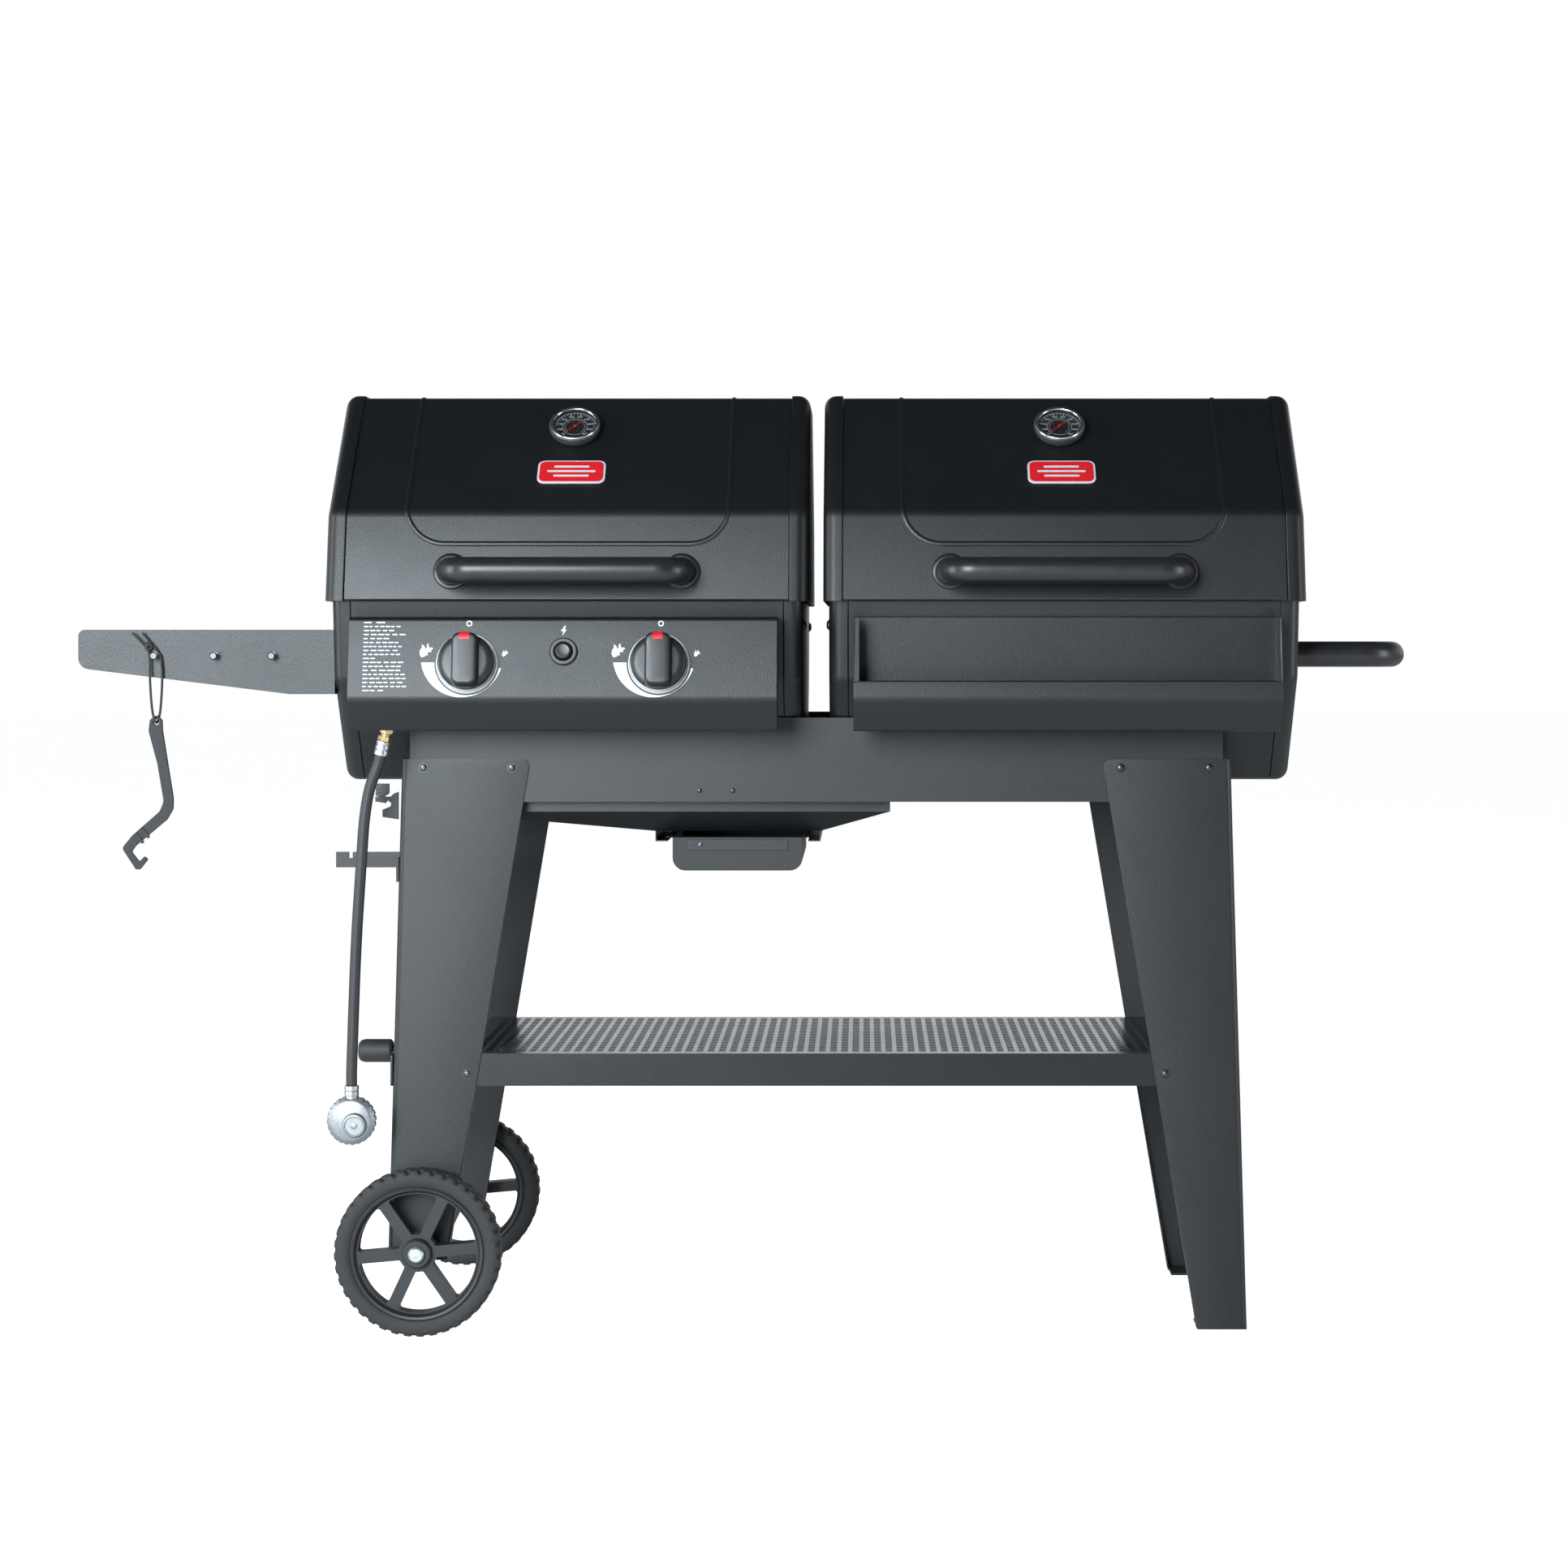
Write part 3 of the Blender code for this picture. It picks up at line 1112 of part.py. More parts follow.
# ---------------------------------------------------------------- sides
def make_side_shelf(root):
    root_x = -BARREL_END - GAP
    corners = [
        (root_x, SIDE_SHELF_HEIGHT),
        (-SIDE_SHELF_TIP, SIDE_SHELF_HEIGHT),
        (-SIDE_SHELF_TIP, SIDE_SHELF_HEIGHT - SIDE_SHELF_TIP_FLANGE),
        (-SIDE_SHELF_TAPER_START, SIDE_SHELF_HEIGHT - SIDE_SHELF_ROOT_FLANGE),
        (root_x, SIDE_SHELF_HEIGHT - SIDE_SHELF_ROOT_FLANGE),
    ]
    outline = fillet(corners, [0, 6 * MM, 12 * MM, 0, 0], 2)
    bm = bmesh.new()
    add_loft(bm, [along_y(outline, -SIDE_SHELF_HALF_DEPTH), along_y(outline, SIDE_SHELF_HALF_DEPTH)])
    face_outwards(bm)
    under = [face for face in bm.faces if face.normal.z < -0.2 and abs(face.normal.y) < 0.5]
    bmesh.ops.delete(bm, geom=under, context="FACES")
    shelf = thicken(piece("side_shelf", bm, "black_powder_coat", root))
    pegs = bmesh.new()
    for x in HOOK_X:
        base = Vector((x, -SIDE_SHELF_HALF_DEPTH + SHEET / 2, HOOK_HEIGHT))
        length = HOOK_LENGTH + SHEET / 2
        profile = [
            (HOOK_RADIUS, 0),
            (HOOK_RADIUS, length - 3 * MM),
            (HOOK_HEAD_RADIUS, length - 3 * MM),
            (HOOK_HEAD_RADIUS, length - 1 * MM),
            (HOOK_HEAD_RADIUS - 1 * MM, length),
        ]
        add_turned(pegs, profile, base, (0, -1, 0), 10)
    combine(shelf, pegs, "UNION", "side_shelf_pegs")


def make_side_handle(root):
    start = BARREL_END + GAP
    corners = [
        (start, -SIDE_HANDLE_HALF_SPAN, SIDE_HANDLE_HEIGHT),
        (SIDE_HANDLE_REACH, -SIDE_HANDLE_HALF_SPAN, SIDE_HANDLE_HEIGHT),
        (SIDE_HANDLE_REACH, SIDE_HANDLE_HALF_SPAN, SIDE_HANDLE_HEIGHT),
        (start, SIDE_HANDLE_HALF_SPAN, SIDE_HANDLE_HEIGHT),
    ]
    tube("side_handle", bent_bar(corners, SIDE_HANDLE_BEND), HANDLE_RADIUS, "black_tube", root)


def make_lifter(root):
    """Cast grate lifter that hangs by a knotted lanyard from the first hook."""
    hook = Vector((HOOK_X[0], -SIDE_SHELF_HALF_DEPTH - HOOK_LENGTH / 2, HOOK_HEIGHT))
    shank = [(-805, 758), (-814, 752), (-815.5, 738), (-805, 699), (-797, 652), (-802, 640), (-836, 610)]
    claw = [(-848, 595), (-831, 569), (-826, 569), (-816.5, 581), (-820.5, 585), (-827, 578.5)]
    claw.append((-836.5, 590.5))
    back = [(-831.5, 597.5), (-793, 630), (-785.5, 643), (-785.5, 657), (-798.5, 738), (-799, 751)]
    corners = [(x * MM, z * MM) for x, z in shank + claw + back]
    shank_radii = [3, 5, 8, 0, 14, 6, 0]
    claw_radii = [5, 1.5, 1.5, 1, 1, 2, 3]
    back_radii = [3, 0, 12, 12, 0, 3]
    outline = fillet(corners, [radius * MM for radius in shank_radii + claw_radii + back_radii], 2)
    bm = bmesh.new()
    add_loft(bm, [along_y(outline, LIFTER_BACK - LIFTER_THICKNESS), along_y(outline, LIFTER_BACK)])
    lifter = piece("grate_lifter", bm, "cast_iron", root, hook)
    eye = bmesh.new()
    x, z = LIFTER_EYE
    near, far = LIFTER_BACK - 3 * LIFTER_THICKNESS, LIFTER_BACK + LIFTER_THICKNESS
    add_rod(eye, (x, near, z), (x, far, z), LIFTER_EYE_RADIUS, 10)
    combine(lifter, eye, "DIFFERENCE", "lifter_eye")
    cord = [
        (-837, -238, 858), (-828, -238, 849), (-819, -238, 839), (-816, -237, 828), (-815, -239, 800),
        (-812, -245, 772), (-808.5, -251, 757), (-806, -250, 749.5), (-806, -243, 748.5),
        (-806, -236, 750), (-803, -235, 765), (-801, -235, 800), (-802.5, -235, 826),
        (-807, -235, 836), (-815, -235.5, 846), (-825, -236, 858),
    ]
    path = smooth_path([[value * MM for value in place] for place in cord], 8 * LANYARD_RADIUS)
    tube("lanyard", path, LANYARD_RADIUS, "lanyard_cord", root, 2, pivot=hook)


def make_gas_line(root):
    left = INLET_X - MANIFOLD_RADIUS - 2 * MM
    bm = bmesh.new()
    start, finish = (left, MANIFOLD_Y, MANIFOLD_HEIGHT), (MANIFOLD_END, MANIFOLD_Y, MANIFOLD_HEIGHT)
    add_rod(bm, start, finish, MANIFOLD_RADIUS)
    manifold = piece("gas_manifold", bm, "galvanised_steel", root)
    fittings = bmesh.new()
    inlet = (INLET_X, MANIFOLD_Y, INLET_HEIGHT)
    add_rod(fittings, inlet, (INLET_X, MANIFOLD_Y, MANIFOLD_HEIGHT), MANIFOLD_RADIUS - 1 * MM)
    for x in KNOB_X:
        low = (x - 11 * MM, MANIFOLD_Y - 12 * MM, MANIFOLD_HEIGHT - 9 * MM)
        add_box(fittings, low, (x + 11 * MM, MANIFOLD_Y + 4 * MM, MANIFOLD_HEIGHT + 36 * MM))
    combine(manifold, fittings, "UNION", "manifold_fittings")

    top = Vector(inlet) - Vector((0, 0, GAP))
    run = HOSE_TOP - top
    length = run.length - 3 * GAP
    profile = [
        (6 * MM, 1.5 * MM),
        (9 * MM, 1.5 * MM),
        (9 * MM, 0.35 * length),
        (6.5 * MM, 0.4 * length),
        (6.5 * MM, 0.55 * length),
        (8 * MM, 0.6 * length),
        (8 * MM, length - 1 * MM),
        (7.2 * MM, length),
    ]
    bm = bmesh.new()
    add_turned(bm, profile, top, run, 12)
    piece("hose_fitting", bm, "brass", root)

    hose = [
        (-532, -265, 698), (-543, -264, 667), (-549, -264, 630), (-552, -264, 590),
        (-555, -264, 545), (-558, -263, 500), (-560.5, -262, 450), (-562.5, -261, 400), (-564, -261, 355),
        (-565, -261, 325), (-565, -261, 308),
    ]
    route = [HOSE_TOP] + [Vector(place) * MM for place in hose]
    tube("gas_hose", smooth_path(route, 2.4 * HOSE_RADIUS), HOSE_RADIUS, "hose_rubber", root, 3)

    half = REGULATOR_THICKNESS / 2
    profile = [
        (14 * MM, half),
        (14 * MM, half - 5 * MM),
        (REGULATOR_RADIUS - 6 * MM, half - 7 * MM),
        (REGULATOR_RADIUS, 5 * MM),
        (REGULATOR_RADIUS, -5 * MM),
        (REGULATOR_RADIUS - 6 * MM, -half + 4 * MM),
        (18 * MM, -half),
    ]
    bm = bmesh.new()
    add_turned(bm, profile, REGULATOR_CENTRE, (0, -1, 0), 24)
    regulator = piece("regulator", bm, "zinc_casting", root)
    stub = bmesh.new()
    foot = REGULATOR_CENTRE + Vector((0, 0, REGULATOR_RADIUS - 12 * MM))
    add_rod(stub, foot, (foot.x, foot.y, REGULATOR_STUB_TOP), 8 * MM, 12)
    combine(regulator, stub, "UNION", "regulator_stub")

    base = REGULATOR_CENTRE + NUT_OFFSET + Vector((0, half + GAP, 0))
    profile = [
        (NUT_RADIUS * 0.5, 0),
        (NUT_RADIUS * 0.5, 6 * MM),
        (NUT_RADIUS, 9 * MM),
        (NUT_RADIUS, NUT_LENGTH - 3 * MM),
        (NUT_RADIUS - 2 * MM, NUT_LENGTH),
    ]
    bm = bmesh.new()
    add_turned(bm, profile, base, (0, 1, 0), 16)
    piece("coupling_nut", bm, "knob_plastic", root, base)


# ---------------------------------------------------------------- assembly
def stand_on_origin(root):
    """Move the whole grill so that the middle of its footprint is on the world origin."""
    bpy.context.view_layer.update()
    graph = bpy.context.evaluated_depsgraph_get()
    corners = []
    for item in bpy.data.objects:
        if item.type == "EMPTY" or item.hide_render:
            continue
        shape = item.evaluated_get(graph)
        corners += [shape.matrix_world @ vertex.co for vertex in shape.to_mesh().vertices]
        shape.to_mesh_clear()
    xs, ys, zs = zip(*corners)
    root.location = (-(min(xs) + max(xs)) / 2, -(min(ys) + max(ys)) / 2, -min(zs))
    bpy.context.view_layer.update()


def main():
    for item in list(bpy.data.objects):
        bpy.data.objects.remove(item, do_unlink=True)
    root = bpy.data.objects.new("grill_origin", None)
    bpy.context.collection.objects.link(root)

    make_cart(root)
    make_wheels(root)
    make_tank_fittings(root)
    for label, centre in (("gas", -BARREL_CENTRE), ("charcoal", BARREL_CENTRE)):
        ends = make_tub(label, centre, root)
        make_hinge(label, centre, root)
        make_lid(label, centre, root)
        grate_name = label + "_cooking_grate"
        half_length = make_grate(grate_name, centre, RIM_HEIGHT - COOKING_GRATE_DROP, root, "cast_iron")
        make_warming_rack(label + "_warming_rack", centre, half_length, root)
    make_grate("fire_grate", BARREL_CENTRE, RIM_HEIGHT - FIRE_GRATE_DROP, root, "cast_iron")
    make_air_damper(ends, root)
    make_burner(root)
    make_control_panel(root)
    make_knobs(root)
    make_igniter(root)
    make_front_tray(root)
    make_grease_parts(root)
    make_side_shelf(root)
    make_side_handle(root)
    make_lifter(root)
    make_gas_line(root)
    stand_on_origin(root)


main()
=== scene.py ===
import math

import bmesh
import bpy
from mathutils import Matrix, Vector


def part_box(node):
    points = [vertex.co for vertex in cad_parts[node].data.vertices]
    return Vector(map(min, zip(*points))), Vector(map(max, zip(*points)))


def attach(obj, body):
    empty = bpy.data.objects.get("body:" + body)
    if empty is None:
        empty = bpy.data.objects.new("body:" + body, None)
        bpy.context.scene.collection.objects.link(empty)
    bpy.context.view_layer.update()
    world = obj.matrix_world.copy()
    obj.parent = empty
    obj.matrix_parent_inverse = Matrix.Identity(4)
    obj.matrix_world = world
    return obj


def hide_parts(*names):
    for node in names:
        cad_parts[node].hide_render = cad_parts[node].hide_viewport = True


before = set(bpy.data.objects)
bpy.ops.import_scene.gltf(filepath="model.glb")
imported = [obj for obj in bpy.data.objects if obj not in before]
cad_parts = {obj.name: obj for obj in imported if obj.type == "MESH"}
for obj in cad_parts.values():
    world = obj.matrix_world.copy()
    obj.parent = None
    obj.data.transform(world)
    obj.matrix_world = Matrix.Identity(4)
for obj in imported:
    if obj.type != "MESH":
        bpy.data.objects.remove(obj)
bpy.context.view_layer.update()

MM = 0.001


def corners(node):
    """Lowest and highest corner of a frame node, as vectors."""
    low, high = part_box(node)
    return Vector(low), Vector(high)


# ---------------------------------------------------------------- sizes read from the frame
SHELF_LOW, SHELF_HIGH = corners("bottom_shelf")
CART = Vector(((SHELF_LOW.x + SHELF_HIGH.x) / 2, (SHELF_LOW.y + SHELF_HIGH.y) / 2, 0))
TUB_LOW, TUB_HIGH = corners("gas_tub")
LID_END_LOW, LID_END_HIGH = corners("gas_lid_end_left")
PANEL_LOW, PANEL_HIGH = corners("control_panel")
RIM = TUB_HIGH.z
SHEET = 1.5 * MM

# ---------------------------------------------------------------- sizes of the barrels
LID_PROUD = 3 * MM
LID_BOTTOM = LID_END_LOW.z
LID_HALF_DEPTH = (LID_END_HIGH.y - LID_END_LOW.y) / 2 - LID_PROUD
LID_SHOULDER = (246 * MM, 109 * MM)
LID_CREST = (90 * MM, 260 * MM)
LID_BEND = 25 * MM
TUB_HALF_DEPTH = (TUB_HIGH.y - TUB_LOW.y) / 2
TUB_WAIST = (246 * MM, 97 * MM)
TUB_KNEE = (200 * MM, 152 * MM)
TUB_FLOOR = (140 * MM, 222 * MM)
TUB_BEND = 20 * MM
END_ROUND = 15 * MM
HINGE_OFFSET = 13 * MM
HINGE_DROP = 4.7 * MM
HINGE_EAR_OFFSET = 155 * MM
HINGE_EYE_RADIUS = 8 * MM
KNOB_HEIGHT = 821 * MM
IGNITER_HEIGHT = 835 * MM
DAMPER_HEIGHT = 760 * MM
DIAL_FACE_TOP = 9.2 * MM
DIAL_PRINT_TOP = 9.35 * MM
PANEL_PRINT = (0.05 * MM, 0.2 * MM)


def cart(x, y, z):
    """A point given in millimetres from the floor under the middle of the cart."""
    return Vector((x, y, z)) * MM + CART


# ---------------------------------------------------------------- outlines
def fillet(points, radii, steps=8):
    """Round the corners of a closed outline with arcs; a radius of 0 keeps a corner sharp."""
    rounded = []
    for index, radius in enumerate(radii):
        here = Vector(points[index])
        if radius <= 0:
            rounded.append(here)
            continue
        to_before = (Vector(points[index - 1]) - here).normalized()
        to_after = (Vector(points[(index + 1) % len(points)]) - here).normalized()
        half_angle = to_before.angle(to_after) / 2
        centre = here + (to_before + to_after).normalized() * radius / math.sin(half_angle)
        start = here + to_before * radius / math.tan(half_angle) - centre
        finish = here + to_after * radius / math.tan(half_angle) - centre
        sweep = math.atan2(start.x * finish.y - start.y * finish.x, start.dot(finish))
        first = math.atan2(start.y, start.x)
        for step in range(steps + 1):
            angle = first + sweep * step / steps
            rounded.append(centre + Vector((math.cos(angle), math.sin(angle))) * radius)
    return rounded


def inset(points, distance):
    """Move each side of an outline inwards, except the open side from its last point to its first."""
    points = [Vector(point) for point in points]
    pairs = list(zip(points, points[1:] + points[:1]))
    area = sum(a.x * b.y - b.x * a.y for a, b in pairs)
    sides = []
    for index, (start, finish) in enumerate(pairs):
        along = (finish - start).normalized()
        inwards = Vector((-along.y, along.x)) * math.copysign(1, area)
        shift = 0 if index == len(pairs) - 1 else distance
        sides.append((start + inwards * shift, along))
    moved = []
    for index, (place, along) in enumerate(sides):
        other_place, other_along = sides[index - 1]
        cross = other_along.x * along.y - other_along.y * along.x
        between = place - other_place
        reach = (between.x * along.y - between.y * along.x) / cross
        moved.append(other_place + other_along * reach)
    return moved


def ribbon(points, width):
    """Closed outline of a strip of the given width along a run of points."""
    points = [Vector(point) for point in points]
    left, right = [], []
    for index, here in enumerate(points):
        before = points[max(index - 1, 0)]
        after = points[min(index + 1, len(points) - 1)]
        into = (here - before).normalized() if index else (after - here).normalized()
        out = (after - here).normalized() if index < len(points) - 1 else into
        across = Vector((-(into + out).y, (into + out).x)).normalized()
        reach = width / 2 / across.dot(Vector((-into.y, into.x)))
        left.append(here + across * reach)
        right.append(here - across * reach)
    return left + right[::-1]


def circle(radius, count, first=0.0, sweep=2 * math.pi, centre=(0, 0)):
    """Points round a circle, or along an arc of it."""
    spaces = count if abs(sweep) >= 2 * math.pi else count - 1
    angles = [first + sweep * step / spaces for step in range(count)]
    return [Vector((centre[0] + radius * math.cos(a), centre[1] + radius * math.sin(a))) for a in angles]


def plate(width, height, radius=0.0, centre=(0, 0), steps=5):
    """Outline of a rectangle with rounded corners."""
    x, y = centre
    half_x, half_y = width / 2, height / 2
    points = [
        (x - half_x, y - half_y), (x + half_x, y - half_y), (x + half_x, y + half_y),
        (x - half_x, y + half_y),
    ]
    return fillet(points, [radius] * 4, steps)


def smooth_path(points, spacing):
    """Points at an even spacing along a smooth curve through the given ones."""
    points = [Vector(point) for point in points]
    padded = [2 * points[0] - points[1]] + points + [2 * points[-1] - points[-2]]
    fine = []
    for a, b, c, d in zip(padded, padded[1:], padded[2:], padded[3:]):
        for step in range(20):
            t = step / 20
            bend = (2 * a - 5 * b + 4 * c - d) * t * t + (3 * b - a - 3 * c + d) * t ** 3
            fine.append(b + ((c - a) * t + bend) / 2)
    fine.append(points[-1])
    lengths = [0.0]
    for a, b in zip(fine, fine[1:]):
        lengths.append(lengths[-1] + (b - a).length)
    count = max(2, round(lengths[-1] / spacing))
    path = []
    index = 0
    for step in range(count + 1):
        target = lengths[-1] * step / count
        while index < len(fine) - 2 and lengths[index + 1] < target:
            index += 1
        share = (target - lengths[index]) / (lengths[index + 1] - lengths[index])
        path.append(fine[index].lerp(fine[index + 1], share))
    return path


def bent_bar(points, radius, steps=10):
    """A run of points in space with each inner corner turned on an arc of the given radius."""
    points = [Vector(point) for point in points]
    path = [points[0]]
    for before, here, after in zip(points, points[1:], points[2:]):
        to_before = (before - here).normalized()
        to_after = (after - here).normalized()
        half_angle = to_before.angle(to_after) / 2
        centre = here + (to_before + to_after).normalized() * radius / math.sin(half_angle)
        start = (here + to_before * radius / math.tan(half_angle) - centre).normalized()
        finish = (here + to_after * radius / math.tan(half_angle) - centre).normalized()
        for step in range(steps + 1):
            path.append(centre + start.slerp(finish, step / steps) * radius)
    return path + [points[-1]]


class Facing:
    """A flat working frame on a face of the grill: right, up and out of it."""

    def __init__(self, origin, up=(0, 0, 1), out=(0, -1, 0)):
        self.origin = Vector(origin)
        self.up = Vector(up).normalized()
        self.out = Vector(out).normalized()
        self.right = self.up.cross(self.out)

    def at(self, right, up, out=0.0):
        return self.origin + self.right * right + self.up * up + self.out * out

    def moved(self, right, up, out=0.0):
        return Facing(self.at(right, up, out), self.up, self.out)


# ---------------------------------------------------------------- solids
def loft(bm, rings, closed=True, caps=(True, True)):
    """Join rings of points with faces, and close the ends where asked."""
    loops = [[bm.verts.new(point) for point in ring] for ring in rings]
    for lower, upper in zip(loops, loops[1:]):
        sides = len(lower) if closed else len(lower) - 1
        for index in range(sides):
            after = (index + 1) % len(lower)
            bm.faces.new((lower[index], lower[after], upper[after], upper[index]))
    if caps[0]:
        bm.faces.new(loops[0])
    if caps[1]:
        bm.faces.new(loops[-1])
    return loops


def press(bm, outline, facing, low, high):
    """A plate with a flat outline, between two heights out of a face."""
    loft(bm, [[facing.at(p[0], p[1], height) for p in outline] for height in (low, high)])


def turn(bm, profile, facing, sides=48, bored=False):
    """Turn (radius, height) pairs about a face's outward direction."""
    rings = []
    for radius, height in profile:
        rings.append([facing.at(p.x, p.y, height) for p in circle(radius, sides)])
    if not bored:
        loft(bm, rings)
        return
    loops = loft(bm, rings, caps=(False, False))
    for index in range(sides):
        after = (index + 1) % sides
        bm.faces.new((loops[-1][index], loops[-1][after], loops[0][after], loops[0][index]))


def sweep(bm, points, radius, sides=20, cyclic=False, flatten=1.0, up=None):
    """A round bar along points; the radius may be one value or one for each point."""
    points = [Vector(point) for point in points]
    radii = radius if isinstance(radius, list) else [radius] * len(points)
    count = len(points)
    rings = []
    side = None
    for index, here in enumerate(points):
        before = points[index - 1] if index or cyclic else here
        after = points[(index + 1) % count] if index < count - 1 or cyclic else here
        along = (after - before).normalized()
        if side is None:
            guess = Vector(up) if up else (Vector((0, 0, 1)) if abs(along.z) < 0.9 else Vector((1, 0, 0)))
            side = along.cross(guess).normalized()
        side = (side - along * side.dot(along)).normalized()
        other = along.cross(side)
        rings.append([here + (side * p.x + other * p.y * flatten) * radii[index] for p in circle(1, sides)])
    if cyclic:
        loops = loft(bm, rings, caps=(False, False))
        for index in range(sides):
            after = (index + 1) % sides
            bm.faces.new((loops[-1][index], loops[-1][after], loops[0][after], loops[0][index]))
    else:
        loft(bm, rings)


def outwards(bm):
    """Make every face look away from the middle of the piece, open shells included."""
    bmesh.ops.recalc_face_normals(bm, faces=bm.faces)
    middle = sum((vert.co for vert in bm.verts), Vector()) / len(bm.verts)
    farthest = max(bm.faces, key=lambda face: (face.calc_center_median() - middle).length)
    if farthest.normal.dot(farthest.calc_center_median() - middle) < 0:
        bmesh.ops.reverse_faces(bm, faces=bm.faces)


def shape(name, bm):
    """Turn a mesh being built into an object."""
    outwards(bm)
    mesh = bpy.data.meshes.new(name)
    bm.to_mesh(mesh)
    bm.free()
    item = bpy.data.objects.new(name, mesh)
    bpy.context.collection.objects.link(item)
    return item


def carve(item, bm, operation="DIFFERENCE"):
    """Cut a shape out of a piece, or join it, and keep the result as the piece's own mesh."""
    tool = shape(item.name + "_tool", bm)
    modifier = item.modifiers.new("carve", "BOOLEAN")
    modifier.operation = operation
    modifier.object = tool
    settle(item)
    bpy.data.objects.remove(tool, do_unlink=True)


def settle(item):
    """Turn a piece's modifiers into plain mesh."""
    graph = bpy.context.evaluated_depsgraph_get()
    mesh = bpy.data.meshes.new_from_object(item.evaluated_get(graph))
    item.modifiers.clear()
    item.data = mesh


def wall(item, thickness=SHEET):
    """Give an open sheet its thickness."""
    modifier = item.modifiers.new("wall", "SOLIDIFY")
    modifier.thickness = thickness
    modifier.offset = -1
    modifier.use_even_offset = True
    settle(item)


def place(item, finish, body, slot, stands_for=(), bevel=0.0, segments=2, sharp=30):
    """Finish a piece: soft edges, shading, its finish, the body it moves with and the nodes it stands for."""
    mesh = item.data
    mesh.materials.clear()
    mesh.materials.append(finish.material)
    mesh.shade_smooth()
    if bevel:
        modifier = item.modifiers.new("edges", "BEVEL")
        modifier.width = bevel
        modifier.segments = segments
        modifier.limit_method = "ANGLE"
        modifier.angle_limit = math.radians(sharp)
        modifier.harden_normals = True
    else:
        mesh.set_sharp_from_angle(angle=math.radians(sharp))
    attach(item, body)
    if stands_for:
        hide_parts(*stands_for)
    return item


# ---------------------------------------------------------------- finishes
class Shade:
    """A shader value; arithmetic on it adds Math nodes."""

    def __init__(self, finish, socket):
        self.finish = finish
        self.socket = socket

    def __add__(self, other):
        return self.finish.sum_of("ADD", self, other)

    __radd__ = __add__

    def __mul__(self, other):
        return self.finish.sum_of("MULTIPLY", self, other)

    __rmul__ = __mul__


class Finish:
    """One procedural finish: a Principled shader and the textures that feed it."""

    def __init__(self, name, metallic=0.0, **constants):
        self.material = bpy.data.materials.new(name)
        self.material.use_nodes = True
        self.tree = self.material.node_tree
        self.shader = self.tree.nodes["Principled BSDF"]
        self.shader.inputs["Metallic"].default_value = metallic
        for socket, value in constants.items():
            self.shader.inputs[socket.replace("_", " ")].default_value = value
        self.spot = self.node("TexCoord", output="Object")

    def node(self, kind, settings=None, values=None, output=0):
        """Add a node: its settings come first, then the values or links of its sockets."""
        node = self.tree.nodes.new("ShaderNode" + kind)
        for name, setting in (settings or {}).items():
            if name == "stops":
                self.set_stops(node, setting)
            else:
                setattr(node, name, setting)
        for name, value in (values or {}).items():
            if isinstance(value, Shade):
                self.tree.links.new(value.socket, node.inputs[name])
            else:
                node.inputs[name].default_value = value
        return Shade(self, node.outputs[output])

    def set_stops(self, node, stops):
        elements = node.color_ramp.elements
        while len(elements) < len(stops):
            elements.new(1.0)
        for element, (position, level) in zip(elements, stops):
            element.position = position
            element.color = (level, level, level, 1)

    def sum_of(self, operation, first, second):
        return self.node("Math", {"operation": operation}, {0: first, 1: second})

    def stretched(self, x, y, z):
        return self.node("VectorMath", {"operation": "MULTIPLY"}, {0: self.spot, 1: (x, y, z)})

    def noise(self, scale, detail=2.0, rough=0.5, spot=None):
        values = {"Vector": spot or self.spot, "Scale": scale, "Detail": detail, "Roughness": rough}
        return self.node("TexNoise", None, values)

    def cells(self, scale, feature="F1", spot=None):
        values = {"Vector": spot or self.spot, "Scale": scale}
        return self.node("TexVoronoi", {"feature": feature}, values)

    def ramp(self, value, *stops):
        return self.node("ValToRGB", {"stops": stops}, {"Fac": value})

    def blend(self, share, first, second):
        """Mix two colours; the share may be a value or a number."""
        values = {0: share}
        for index, colour in ((6, first), (7, second)):
            values[index] = colour if isinstance(colour, Shade) else (*colour, 1)
        return self.node("Mix", {"data_type": "RGBA"}, values, 2)

    def colour(self, value):
        self.tree.links.new(value.socket, self.shader.inputs["Base Color"])

    def roughness(self, value):
        self.tree.links.new(value.socket, self.shader.inputs["Roughness"])

    def relief(self, height, distance, strength=1.0):
        values = {"Height": height, "Distance": distance, "Strength": strength}
        bump = self.node("Bump", None, values)
        self.tree.links.new(bump.socket, self.shader.inputs["Normal"])


def make_powder_coat(name, tint, level):
    """Textured powder coat: a fine pebbled skin with a little cloudiness and dust."""
    finish = Finish(name, IOR=1.5)
    pebbles = finish.cells(620, "SMOOTH_F1")
    grain = finish.noise(1100, 2.0)
    cloud = finish.noise(7, 4.0, 0.6)
    dark = tuple(channel * 0.72 for channel in tint)
    light = tuple(channel * 1.5 for channel in tint)
    speck = finish.ramp(grain * 0.6 + pebbles * 0.4, (0.3, 0.0), (0.75, 1.0))
    finish.colour(finish.blend(speck * 0.75 + cloud * 0.25, dark, light))
    finish.roughness(cloud * 0.12 + grain * 0.1 + (level - 0.1))
    finish.relief(pebbles * 0.5 + grain * 0.5, 0.35 * MM, 0.55)
    return finish


